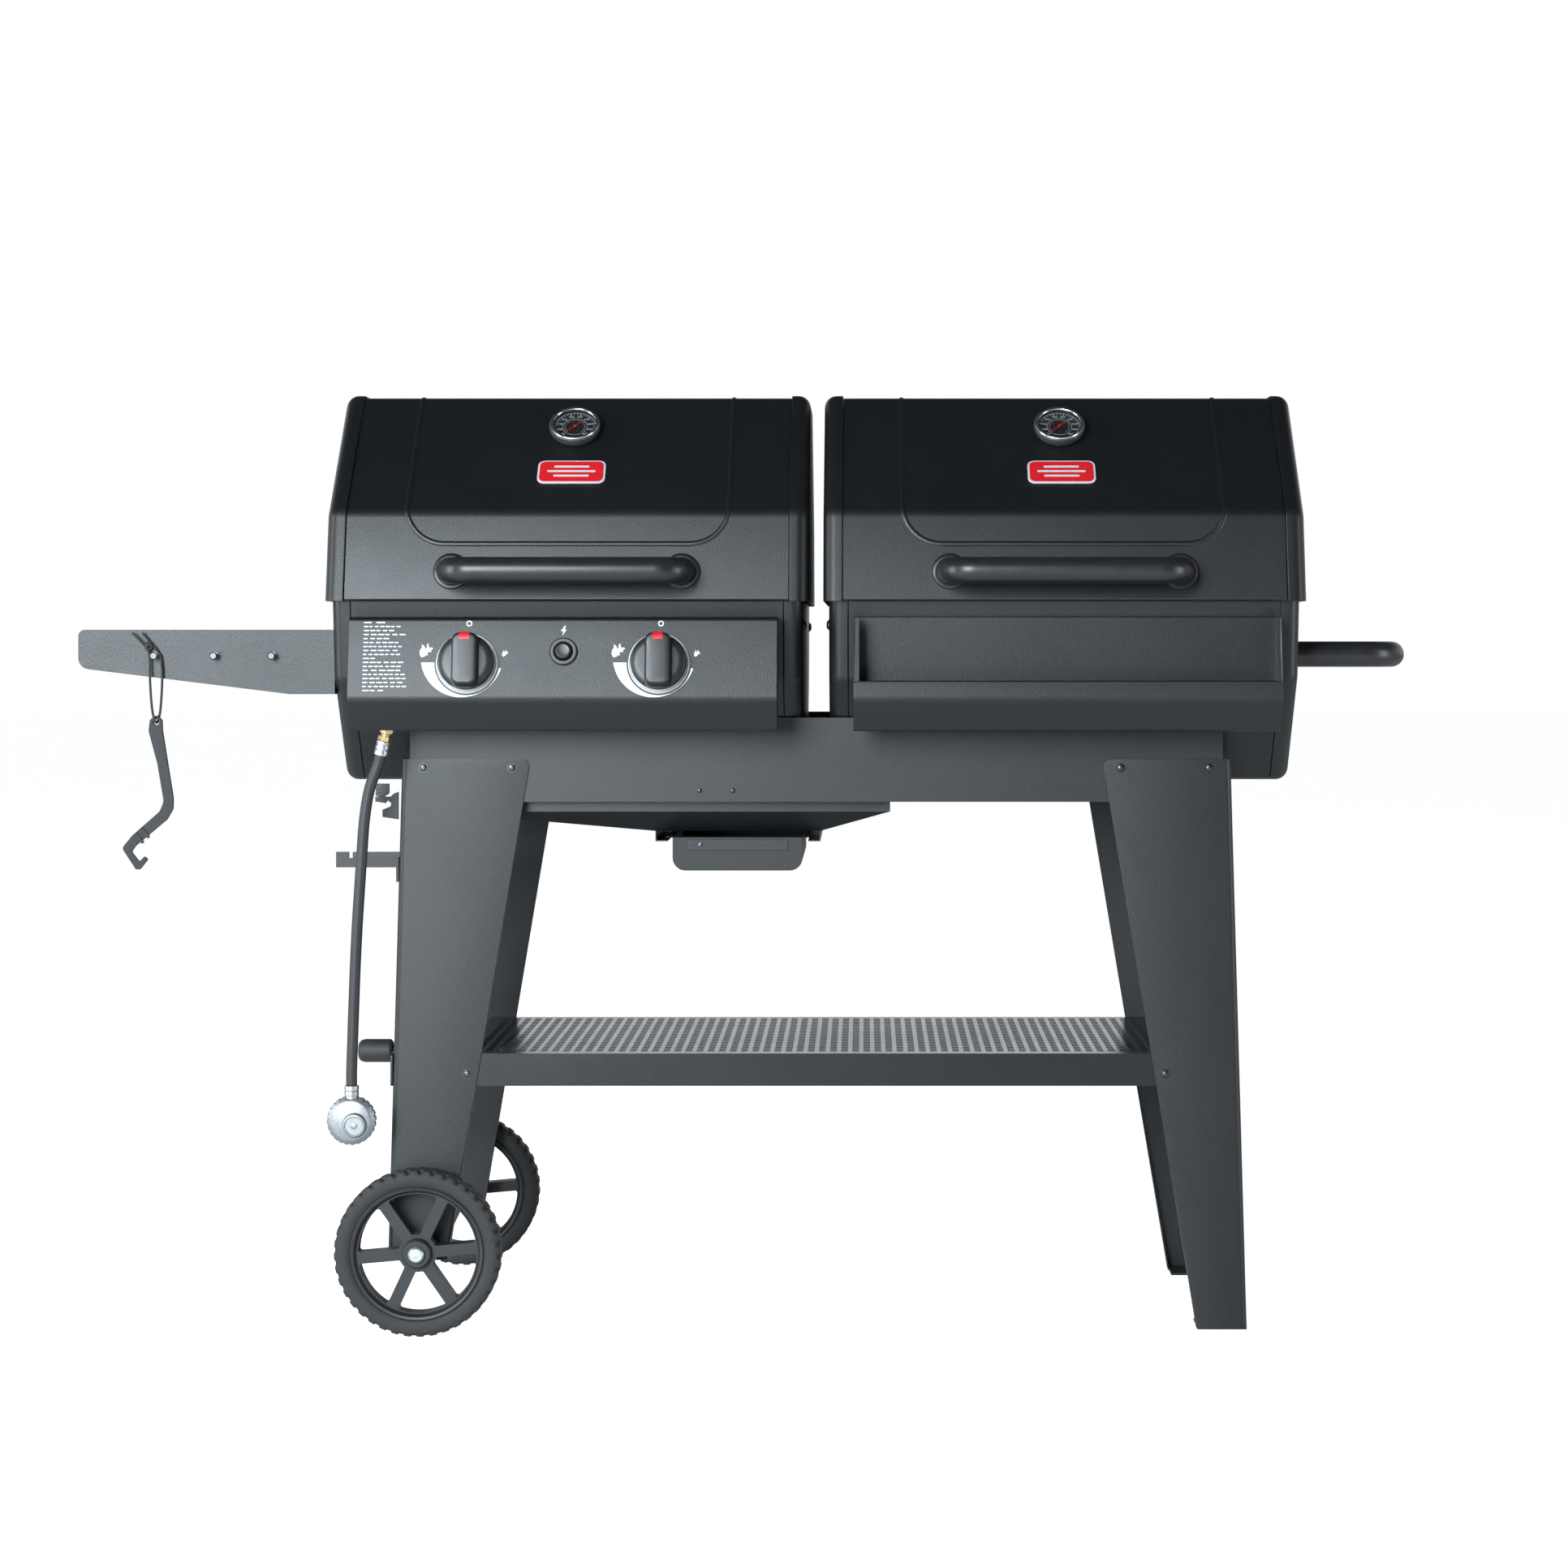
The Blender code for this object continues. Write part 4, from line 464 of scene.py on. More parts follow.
def make_satin_paint(name, tint, level):
    """Smooth satin enamel on tube, with slight flow marks."""
    finish = Finish(name, IOR=1.5)
    flow = finish.noise(45, 3.0)
    dust = finish.noise(900, 1.0)
    finish.colour(finish.blend(flow * 0.6 + dust * 0.4, tint, tuple(c * 1.8 for c in tint)))
    finish.roughness(flow * 0.14 + dust * 0.06 + (level - 0.1))
    finish.relief(flow + dust * 0.15, 0.12 * MM, 0.3)
    return finish


def make_moulding(name, tint, level):
    """Moulded plastic with a spark-eroded grain."""
    finish = Finish(name, IOR=1.46)
    grain = finish.noise(1500, 3.0)
    wear = finish.noise(22, 4.0)
    finish.colour(finish.blend(wear, tint, tuple(c * 2.0 for c in tint)))
    finish.roughness(wear * 0.16 + grain * 0.08 + (level - 0.12))
    finish.relief(grain, 0.12 * MM, 0.35)
    return finish


def make_bright_metal(name, tint, level, brush=(1, 1, 40)):
    """Plated or polished metal with fine rubbing marks along one direction."""
    finish = Finish(name, metallic=1.0)
    marks = finish.noise(60, 3.0, 0.6, finish.stretched(*brush))
    smear = finish.noise(14, 3.0)
    finish.colour(finish.blend(smear * 0.7 + marks * 0.3, tuple(c * 0.78 for c in tint), tint))
    finish.roughness(marks * 0.16 + smear * 0.1 + (level - 0.12))
    finish.relief(marks, 0.04 * MM, 0.3)
    return finish


def make_zinc(name, tint, level):
    """Zinc-coated sheet with faint spangles and dull patches."""
    finish = Finish(name, metallic=0.9)
    spangle = finish.cells(85)
    dull = finish.noise(9, 5.0, 0.65)
    finish.colour(finish.blend(spangle * 0.35 + dull * 0.65, tuple(c * 0.7 for c in tint), tint))
    finish.roughness(dull * 0.25 + spangle * 0.1 + (level - 0.15))
    finish.relief(dull + spangle * 0.3, 0.1 * MM, 0.25)
    return finish


def make_casting(name, tint, level, metallic, pit=0.5):
    """Sand or die casting: a pitted skin."""
    finish = Finish(name, metallic=metallic)
    pits = finish.cells(420, "SMOOTH_F1")
    skin = finish.noise(260, 5.0, 0.65)
    finish.colour(finish.blend(
        skin * 0.7 + pits * 0.3, tuple(c * 0.6 for c in tint), tuple(c * 1.35 for c in tint),
    ))
    finish.roughness(skin * 0.2 + (level - 0.1))
    finish.relief(skin * 0.7 + pits * 0.3, 0.5 * MM * pit, 0.6)
    return finish


def make_rubber(name, tint, level, rib_scale=0.0):
    """Extruded rubber with a chalky bloom; a hose also shows its cover's fine ribs."""
    finish = Finish(name, IOR=1.5)
    bloom = finish.noise(60, 5.0, 0.6)
    grain = finish.noise(1300, 2.0)
    finish.colour(finish.blend(bloom, tint, tuple(c * 2.2 for c in tint)))
    finish.roughness(bloom * 0.16 + grain * 0.06 + (level - 0.1))
    height = grain
    if rib_scale:
        values = {"Vector": finish.spot, "Scale": rib_scale, "Distortion": 0.4}
        height = grain * 0.3 + finish.node("TexWave", {"bands_direction": "Z"}, values, "Fac") * 0.7
    finish.relief(height, 0.2 * MM, 0.4)
    return finish


def make_enamel(name, tint, level):
    """Glossy enamel filling, slightly uneven."""
    finish = Finish(name, IOR=1.5)
    uneven = finish.noise(160, 3.0)
    finish.colour(finish.blend(uneven, tint, tuple(c * 0.72 for c in tint)))
    finish.roughness(uneven * 0.15 + level)
    finish.relief(uneven, 0.08 * MM, 0.3)
    return finish


def make_glass():
    """Thin dial glass: mostly see-through, with a faint smeared gloss."""
    finish = Finish("dial_glass", IOR=1.45)
    smear = finish.noise(35, 3.0)
    finish.colour(finish.blend(smear, (0.01, 0.01, 0.01), (0.03, 0.03, 0.03)))
    finish.roughness(smear * 0.05 + 0.02)
    finish.tree.links.new((smear * 0.06 + 0.08).socket, finish.shader.inputs["Alpha"])
    return finish


def make_cord_braid():
    """Round braided cord: crossing strands run round it both ways."""
    finish = Finish("lanyard_braid")
    strands = []
    for lean in (1.0, -1.0):
        spot = finish.stretched(lean, 1, 1)
        values = {"Vector": spot, "Scale": 330, "Distortion": 0.5}
        strands.append(finish.node("TexWave", {"bands_direction": "DIAGONAL"}, values, "Fac"))
    weave = strands[0] * strands[1]
    finish.colour(finish.blend(weave, (0.012, 0.011, 0.011), (0.085, 0.08, 0.078)))
    finish.roughness(weave * 0.1 + 0.78)
    finish.relief(weave, 0.4 * MM, 0.8)
    return finish


powder = make_powder_coat("powder_coat_black", (0.0042, 0.0048, 0.0056), 0.4)
powder_cart = make_powder_coat("powder_coat_cart", (0.0052, 0.006, 0.007), 0.44)
powder_shelf = make_powder_coat("powder_coat_shelf", (0.0052, 0.006, 0.007), 0.22)
powder_pan = make_powder_coat("powder_coat_pan", (0.003, 0.0034, 0.004), 0.5)
satin = make_satin_paint("satin_black_tube", (0.009, 0.009, 0.010), 0.34)
wheel_black = make_moulding("wheel_black_plastic", (0.010, 0.0105, 0.0115), 0.5)
tyre_black = make_rubber("tyre_black", (0.012, 0.012, 0.0125), 0.72)
knob_black = make_moulding("knob_black_plastic", (0.009, 0.009, 0.0095), 0.34)
chrome = make_bright_metal("bright_plating", (0.78, 0.78, 0.79), 0.2)
steel = make_bright_metal("drawn_steel", (0.56, 0.56, 0.57), 0.36, (30, 1, 1))
screw_black = make_bright_metal("blackened_screw", (0.085, 0.087, 0.092), 0.3)
zinc = make_zinc("zinc_sheet", (0.5, 0.51, 0.52), 0.42)
iron = make_casting("cast_iron_black", (0.020, 0.020, 0.021), 0.62, 0.3, 0.8)
die_cast = make_casting("grey_die_casting", (0.30, 0.31, 0.32), 0.46, 0.85, 0.4)
brass = make_bright_metal("machined_brass", (0.72, 0.56, 0.30), 0.3)
hose_cover = make_rubber("hose_rubber_black", (0.011, 0.011, 0.012), 0.5, 90)
bumper_rubber = make_rubber("bumper_rubber_black", (0.012, 0.012, 0.012), 0.6)
red_enamel = make_enamel("red_enamel", (0.62, 0.012, 0.018), 0.22)
silver_paint = make_enamel("silver_paint", (0.55, 0.56, 0.58), 0.3)
white_print = make_enamel("white_print", (0.72, 0.73, 0.74), 0.45)
dial_black = make_enamel("dial_black", (0.008, 0.008, 0.009), 0.4)
case_grey = make_casting("thermometer_case_grey", (0.075, 0.078, 0.084), 0.42, 0.6, 0.4)
glass = make_glass()
braid = make_cord_braid()


def refinish(finish, *nodes):
    """Give frame nodes that keep their own shape a better finish."""
    for node in nodes:
        for material_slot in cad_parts[node].material_slots:
            material_slot.material = finish.material


# ---------------------------------------------------------------- barrels
def lid_outline():
    """Lid section, from its front edge up and over to its rear edge."""
    half = [
        (-LID_HALF_DEPTH, LID_BOTTOM),
        (-LID_SHOULDER[0], LID_BOTTOM + LID_SHOULDER[1]),
        (-LID_CREST[0], LID_BOTTOM + LID_CREST[1]),
    ]
    return [(y + CART.y, z) for y, z in half] + [(-y + CART.y, z) for y, z in reversed(half)]


def tub_outline():
    """Tub section, from its front rim down and round to its rear rim."""
    half = [
        (-TUB_HALF_DEPTH, RIM),
        (-TUB_WAIST[0], RIM - TUB_WAIST[1]),
        (-TUB_KNEE[0], RIM - TUB_KNEE[1]),
        (-TUB_FLOOR[0], RIM - TUB_FLOOR[1]),
    ]
    return [(y + CART.y, z) for y, z in half] + [(-y + CART.y, z) for y, z in reversed(half)]


def rounded_section(outline, radius, steps=8):
    """An open section with its inner corners rounded."""
    return fillet(outline, [0] + [radius] * (len(outline) - 2) + [0], steps)


def along_x(outline, x):
    """An outline in depth and height, set at one place along the cart."""
    return [Vector((x, p[0], p[1])) for p in outline]


def pressed_end(name, outline, radius, seam_x, end_x, proud):
    """Dished end panel with its edge rounded all along the section and a rolled bead at its seam."""
    side = math.copysign(1, end_x - seam_x)
    base = inset(outline, -proud)
    sections = [(1.0 * MM, seam_x), (0, seam_x + side * 1.0 * MM)]
    steps = 8
    for step in range(steps + 1):
        angle = math.radians(90) * step / steps
        depth = END_ROUND * (1 - math.cos(angle))
        sections.append((depth, end_x - side * END_ROUND * (1 - math.sin(angle))))
    rings = []
    for depth, x in sections:
        corner = max(radius + proud - depth, 4 * MM)
        rings.append(along_x(rounded_section(inset(base, depth), corner), x))
    bm = bmesh.new()
    loft(bm, rings, closed=False, caps=(False, True))
    item = shape(name, bm)
    wall(item)
    return item


class Section:
    """A point and its outward direction at a distance along a section line."""

    def __init__(self, points):
        self.points = [Vector(point) for point in points]
        self.lengths = [0.0]
        for a, b in zip(self.points, self.points[1:]):
            self.lengths.append(self.lengths[-1] + (b - a).length)
        self.total = self.lengths[-1]

    def at(self, distance):
        index = 0
        while index < len(self.points) - 2 and self.lengths[index + 1] < distance:
            index += 1
        a, b = self.points[index], self.points[index + 1]
        share = (distance - self.lengths[index]) / (self.lengths[index + 1] - self.lengths[index])
        along = (b - a).normalized()
        return a.lerp(b, share), Vector((-along.y, along.x))


def make_lid_bead(label, centre, body):
    """Raised bead pressed into the lid: a rounded frame that runs over the lid from front to back."""
    half_width, start, corner = 197 * MM, 72 * MM, 48 * MM
    section = Section(rounded_section(lid_outline(), LID_BEND))
    length = section.total - 2 * start
    track = plate(2 * half_width, length, corner, (0, section.total / 2), 12)
    path = []
    for index, here in enumerate(track):
        after = track[(index + 1) % len(track)]
        count = max(1, int((after - here).length / (6 * MM)))
        for step in range(count):
            spot = here.lerp(after, step / count)
            point, away = section.at(spot.y)
            point = point - away * 3.4 * MM
            path.append(Vector((centre + spot.x, point.x, point.y)))
    bm = bmesh.new()
    sweep(bm, path, 4.8 * MM, 24, cyclic=True)
    place(shape(label + "_lid_bead", bm), powder, body, "black_powder_coat")


def slope_facing(centre, share):
    """Working frame on the lid's upper slope."""
    low = Vector((centre, CART.y - LID_SHOULDER[0], LID_BOTTOM + LID_SHOULDER[1]))
    high = Vector((centre, CART.y - LID_CREST[0], LID_BOTTOM + LID_CREST[1]))
    up = (high - low).normalized()
    return Facing(low.lerp(high, share), up, (0, -up.z, up.y))


def make_lid(label):
    """Lid sheet with its hem and hinge ears, pressed ends, bead, handle and thermometer."""
    low, high = corners(label + "_lid")
    centre = (low.x + high.x) / 2
    body = label + "_lid"
    hem = 15 * MM
    outline = lid_outline()
    outline = [(outline[0][0] + hem, LID_BOTTOM)] + outline + [(outline[-1][0] - hem, LID_BOTTOM)]
    section = fillet(outline, [0, 3 * MM] + [LID_BEND] * 4 + [3 * MM, 0], 8)
    bm = bmesh.new()
    loft(bm, [along_x(section, low.x), along_x(section, high.x)], False, (False, False))
    sheet = shape(label + "_lid_sheet", bm)
    wall(sheet)
    ears = bmesh.new()
    hinge_y, hinge_z = CART.y + LID_HALF_DEPTH + HINGE_OFFSET, RIM - HINGE_DROP
    for offset in (-HINGE_EAR_OFFSET, HINGE_EAR_OFFSET):
        eye = circle(HINGE_EYE_RADIUS, 24, math.radians(-150), math.radians(210), (hinge_y, hinge_z))
        neck = [Vector((CART.y + LID_HALF_DEPTH - 6 * MM, LID_BOTTOM + 20 * MM))]
        neck.append(Vector((CART.y + LID_HALF_DEPTH - 2 * MM, LID_BOTTOM + 4 * MM)))
        left = centre + offset - 1.5 * MM
        loft(ears, [along_x(eye + neck, left), along_x(eye + neck, left + 3 * MM)])
    place(shape(label + "_lid_ears", ears), powder, body, "black_powder_coat", bevel=0.5 * MM)
    place(sheet, powder, body, "black_powder_coat", [label + "_lid"], bevel=0.4 * MM)
    for side in ("left", "right"):
        end_low, end_high = corners(f"{label}_lid_end_{side}")
        seam_x, end_x = (end_high.x, end_low.x) if side == "left" else (end_low.x, end_high.x)
        end = pressed_end(f"{label}_lid_end_{side}_panel", lid_outline(), LID_BEND, seam_x, end_x, LID_PROUD)
        place(end, powder, body, "black_powder_coat", [f"{label}_lid_end_{side}"], bevel=0.4 * MM)
    make_lid_bead(label, centre, body)
    make_lid_handle(label, centre, body)
    make_thermometer(label, centre, body)
    make_badge(label, centre, body)


def make_lid_handle(label, centre, body):
    """Bent tube straight out of the leaning lid front, each foot in a wedge-shaped bezel."""
    low, high = corners(label + "_lid_handle")
    radius, half_span = 16 * MM, 140 * MM
    height = (low.z + high.z) / 2
    foot, bar = Vector((centre, high.y, height)), Vector((centre, low.y + radius, height))
    left, right = Vector((-half_span, 0, 0)), Vector((half_span, 0, 0))
    bm = bmesh.new()
    sweep(bm, bent_bar([foot + left, bar + left, bar + right, foot + right], 30 * MM), radius, 32)
    place(shape(label + "_lid_handle_bar", bm), satin, body, "black_tube", [label + "_lid_handle"])
    lean = (LID_HALF_DEPTH - LID_SHOULDER[0]) / LID_SHOULDER[1]
    for side, offset in (("left", left), ("right", right)):
        rings = []
        for size, reach, leaning in (
            (16.2, 0.3, 1), (21.5, 0.3, 1), (22, 2.5, 0.8), (22, 5, 0.5), (20.6, 7.6, 0.2), (18, 8.4, 0),
            (16.2, 8, 0),
        ):
            ring = []
            for p in circle(size * MM, 64):
                slope_y = CART.y - LID_HALF_DEPTH + lean * (height - LID_BOTTOM + p.y * leaning)
                ring.append(Vector((centre + offset.x + p.x, slope_y - reach * MM, height + p.y)))
            rings.append(ring)
        bm = bmesh.new()
        loops = loft(bm, rings, caps=(False, False))
        for index in range(64):
            after = (index + 1) % 64
            bm.faces.new((loops[-1][index], loops[-1][after], loops[0][after], loops[0][index]))
        place(shape(f"{label}_handle_bezel_{side}", bm), satin, body, "black_tube", bevel=0.5 * MM)


def make_thermometer(label, centre, body):
    """Cup, bright bezel, dial with its scales, needle and glass, on the lid's slope."""
    seat = slope_facing(centre, 0.69)
    bm = bmesh.new()
    profile = [
        (27 * MM, 0.3 * MM), (28 * MM, 1.2 * MM), (31 * MM, 5 * MM), (32 * MM, 9 * MM), (32 * MM, 13.5 * MM),
        (31 * MM, 15 * MM), (27.8 * MM, 15 * MM), (27.8 * MM, 8.6 * MM),
    ]
    turn(bm, profile, seat, 72)
    place(
        shape(label + "_thermometer_cup", bm), case_grey, body, "zinc_casting", [label + "_thermometer"],
        bevel=0.5 * MM,
    )
    bm = bmesh.new()
    profile = [
        (26.2 * MM, 15.1 * MM), (27 * MM, 16.2 * MM), (28.5 * MM, 16.6 * MM), (30 * MM, 16.2 * MM),
        (30.6 * MM, 15.1 * MM),
    ]
    turn(bm, profile, seat, 72, bored=True)
    place(shape(label + "_thermometer_bezel", bm), chrome, body, "bright_steel", bevel=0.2 * MM)
    bm = bmesh.new()
    turn(bm, [(27.6 * MM, 8.7 * MM), (27.6 * MM, 9.15 * MM)], seat, 72)
    place(shape(label + "_dial_face", bm), dial_black, body, "zinc_casting", bevel=0.1 * MM)

    bm = bmesh.new()
    first, span = math.radians(225), math.radians(270)
    for step in range(28):
        angle = first - span * step / 27
        long = step % 3 == 0
        length = 3.2 * MM if long else 1.8 * MM
        press(
            bm, plate(0.8 * MM if long else 0.5 * MM, length, 0, (0, 0)),
            turned_mark(seat, angle, 24 * MM), DIAL_FACE_TOP, DIAL_PRINT_TOP,
        )
    for step in range(19):
        angle = first - span * step / 18
        press(
            bm, plate(0.45 * MM, 1.5 * MM, 0, (0, 0)), turned_mark(seat, angle, 12.5 * MM), DIAL_FACE_TOP,
            DIAL_PRINT_TOP,
        )
    for radius in (15.2 * MM, 25.8 * MM):
        band = [
            (radius, DIAL_FACE_TOP), (radius + 0.4 * MM, DIAL_FACE_TOP), (radius + 0.4 * MM, DIAL_PRINT_TOP),
            (radius, DIAL_PRINT_TOP),
        ]
        turn(bm, band, seat, 72, bored=True)
    place(shape(label + "_dial_scale", bm), white_print, body, "zinc_casting")
    for step in range(10):
        angle = first - span * step / 9
        number_on_dial(
            label, step, seat.moved(19.6 * MM * math.cos(angle), 19.6 * MM * math.sin(angle), DIAL_FACE_TOP),
            body,
        )

    needle = Facing(seat.at(0, 0), seat.up, seat.out)
    angle = first
    outline = []
    for along, across in ((-10, -0.7), (-10, 0.7), (-2, 0.6), (17, 0.25), (17, -0.25), (-2, -0.6)):
        x, y = along * MM, across * MM
        outline.append((x * math.cos(angle) - y * math.sin(angle), x * math.sin(angle) + y * math.cos(angle)))
    bm = bmesh.new()
    press(bm, outline, needle, 10.6 * MM, 11.1 * MM)
    turn(bm, [(1.9 * MM, 10.0 * MM), (1.9 * MM, 11.6 * MM), (1.2 * MM, 12.1 * MM)], needle, 24)
    place(
        shape(label + "_dial_needle", bm), red_enamel, label + "_needle", "needle_red",
        [label + "_thermometer_needle"],
    )
    bm = bmesh.new()
    turn(bm, [(27 * MM, 13.9 * MM), (27 * MM, 14.9 * MM)], seat, 72)
    place(shape(label + "_dial_glass", bm), glass, body, "bright_steel", bevel=0.15 * MM)


def turned_mark(seat, angle, radius):
    """A working frame for a mark that points to a dial's middle."""
    spoke = seat.right * math.cos(angle) + seat.up * math.sin(angle)
    return Facing(seat.origin + spoke * radius, spoke, seat.out)


def number_on_dial(label, step, facing, body):
    """A dial number, from 50 upwards in steps of 50, as flat raised figures."""
    text = bpy.data.curves.new(f"{label}_dial_number_{step}", "FONT")
    text.body = str(50 * (step + 1))
    text.size = 4.6 * MM
    text.extrude = 0.06 * MM
    text.align_x = "CENTER"
    text.align_y = "CENTER"
    text.resolution_u = 2
    item = bpy.data.objects.new(text.name, text)
    bpy.context.collection.objects.link(item)
    item.rotation_mode = "QUATERNION"
    item.rotation_quaternion = facing.out.to_track_quat("Z", "Y")
    item.location = facing.at(0, 0, 0.1 * MM)
    bpy.context.view_layer.update()
    graph = bpy.context.evaluated_depsgraph_get()
    mesh = bpy.data.meshes.new_from_object(item.evaluated_get(graph))
    mesh.transform(item.matrix_world)
    bpy.data.objects.remove(item, do_unlink=True)
    figure = bpy.data.objects.new(f"{label}_dial_figure_{step}", mesh)
    bpy.context.collection.objects.link(figure)
    place(figure, white_print, body, "zinc_casting")


def make_badge(label, centre, body):
    """Plain name plate without a name: a silver frame, red enamel and three raised bars."""
    seat = slope_facing(centre, 0.335)
    wide, high = 84 * MM, 42 * MM
    bm = bmesh.new()
    press(bm, plate(wide, high, 9 * MM), seat, 0.2 * MM, 2.2 * MM)
    place(shape(label + "_badge_frame", bm), silver_paint, body, "bright_steel", bevel=0.7 * MM)
    bm = bmesh.new()
    press(bm, plate(wide - 5 * MM, high - 5 * MM, 7 * MM), seat, 2.0 * MM, 2.7 * MM)
    place(shape(label + "_badge_field", bm), red_enamel, body, "needle_red", bevel=0.3 * MM)
    bm = bmesh.new()
    for rise, length in ((8.5, 44), (0, 60), (-8.5, 44)):
        press(bm, plate(length * MM, 3.2 * MM, 1.5 * MM, (0, rise * MM)), seat, 2.6 * MM, 3.4 * MM)
    place(shape(label + "_badge_bars", bm), silver_paint, body, "bright_steel", bevel=0.3 * MM)


def make_tub(label):
    """Tub sheet, its pressed ends and the bolts that hold them."""
    low, high = corners(label + "_tub")
    section = rounded_section(tub_outline(), TUB_BEND)
    bm = bmesh.new()
    loft(bm, [along_x(section, low.x), along_x(section, high.x)], False, (False, False))
    trough = shape(label + "_tub_sheet", bm)
    wall(trough)
    place(trough, powder, "cart", "black_powder_coat", [label + "_tub"], bevel=0.4 * MM)
    for side in ("left", "right"):
        end_low, end_high = corners(f"{label}_tub_end_{side}")
        seam_x, end_x = (end_high.x, end_low.x) if side == "left" else (end_low.x, end_high.x)
        end = pressed_end(f"{label}_tub_end_{side}_panel", tub_outline(), TUB_BEND, seam_x, end_x, 0.0)
        if (label, side) == ("charcoal", "right"):
            carve(end, damper_holes(10 * MM))
        place(end, powder, "cart", "black_powder_coat", [f"{label}_tub_end_{side}"], bevel=0.4 * MM)
        bm = bmesh.new()
        out = -1 if side == "left" else 1
        for y, z in ((-214, 868), (214, 868), (-120, 706), (120, 706)):
            seat = Facing(Vector((end_x, CART.y + y * MM, z * MM)), (0, 0, 1), (out, 0, 0))
            add_bolt(bm, seat, 5.5 * MM)
        place(
            shape(f"{label}_tub_end_{side}_bolts", bm), screw_black, "cart", "galvanised_steel",
            bevel=0.3 * MM,
        )


def add_bolt(bm, seat, radius):
    """Domed cross-head screw with a thin washer."""
    turn(bm, [(radius * 1.25, 0.1 * MM), (radius * 1.25, 0.9 * MM)], seat, 24)
    turn(
        bm, [(radius, 0.9 * MM), (radius, 1.6 * MM), (radius * 0.8, 2.8 * MM), (radius * 0.45, 3.3 * MM)],
        seat, 24,
    )
    for angle in (0, math.radians(90)):
        press(
            bm, plate(radius * 1.1, radius * 0.22),
            Facing(seat.at(0, 0), seat.up * math.cos(angle) + seat.right * math.sin(angle), seat.out),
            3.0 * MM, 3.5 * MM,
        )


# ---------------------------------------------------------------- control panel and front tray
def front_box_outline():
    """Section of the box on the tub's front, shared by the control panel and the tray."""
    back = CART.y - TUB_HALF_DEPTH
    return [
        (back - 0.3 * MM, PANEL_HIGH.z),
        (back - 38 * MM, PANEL_HIGH.z),
        (back - 58 * MM, PANEL_HIGH.z - 99 * MM),
        (back - 32 * MM, PANEL_LOW.z),
        (back - 0.3 * MM, PANEL_LOW.z),
    ]


def panel_facing(x, height):
    """Working frame on the leaning front of the box, at a height above the floor."""
    outline = front_box_outline()
    top, bend = Vector((0, *outline[1])), Vector((0, *outline[2]))
    up = (top - bend).normalized()
    spot = bend + up * ((height - bend.z) / up.z)
    return Facing(Vector((x, spot.y, spot.z)), up, (0, -up.z, up.y))


def make_control_panel():
    """Bent panel with holes for the knobs and the igniter, and what is mounted in it."""
    outline = fillet(front_box_outline(), [0, 7 * MM, 16 * MM, 7 * MM, 0], 8)
    bm = bmesh.new()
    loft(bm, [along_x(outline, PANEL_LOW.x), along_x(outline, PANEL_HIGH.x)])
    outwards(bm)
    hidden = [face for face in bm.faces if face.normal.y > 0.9 or face.normal.z < -0.9]
    bmesh.ops.delete(bm, geom=hidden, context="FACES")
    panel = shape("control_panel_sheet", bm)
    wall(panel)
    holes = bmesh.new()
    knobs = [(corners(name)[0] + corners(name)[1]) / 2 for name in ("knob_left", "knob_right")]
    button = (corners("igniter_button")[0] + corners("igniter_button")[1]) / 2
    for x, height, radius in (
        (knobs[0].x, KNOB_HEIGHT, 5), (knobs[1].x, KNOB_HEIGHT, 5), (button.x, IGNITER_HEIGHT, 10.7),
    ):
        seat = panel_facing(x, height)
        turn(holes, [(radius * MM, -10 * MM), (radius * MM, 10 * MM)], seat, 32)
    carve(panel, holes)
    place(panel, powder, "cart", "black_powder_coat", ["control_panel"], bevel=0.5 * MM)
    for name, spot in zip(("left", "right"), knobs):
        make_knob(name, spot.x)
    make_igniter(button.x)
    make_panel_marks([spot.x for spot in knobs], button.x)


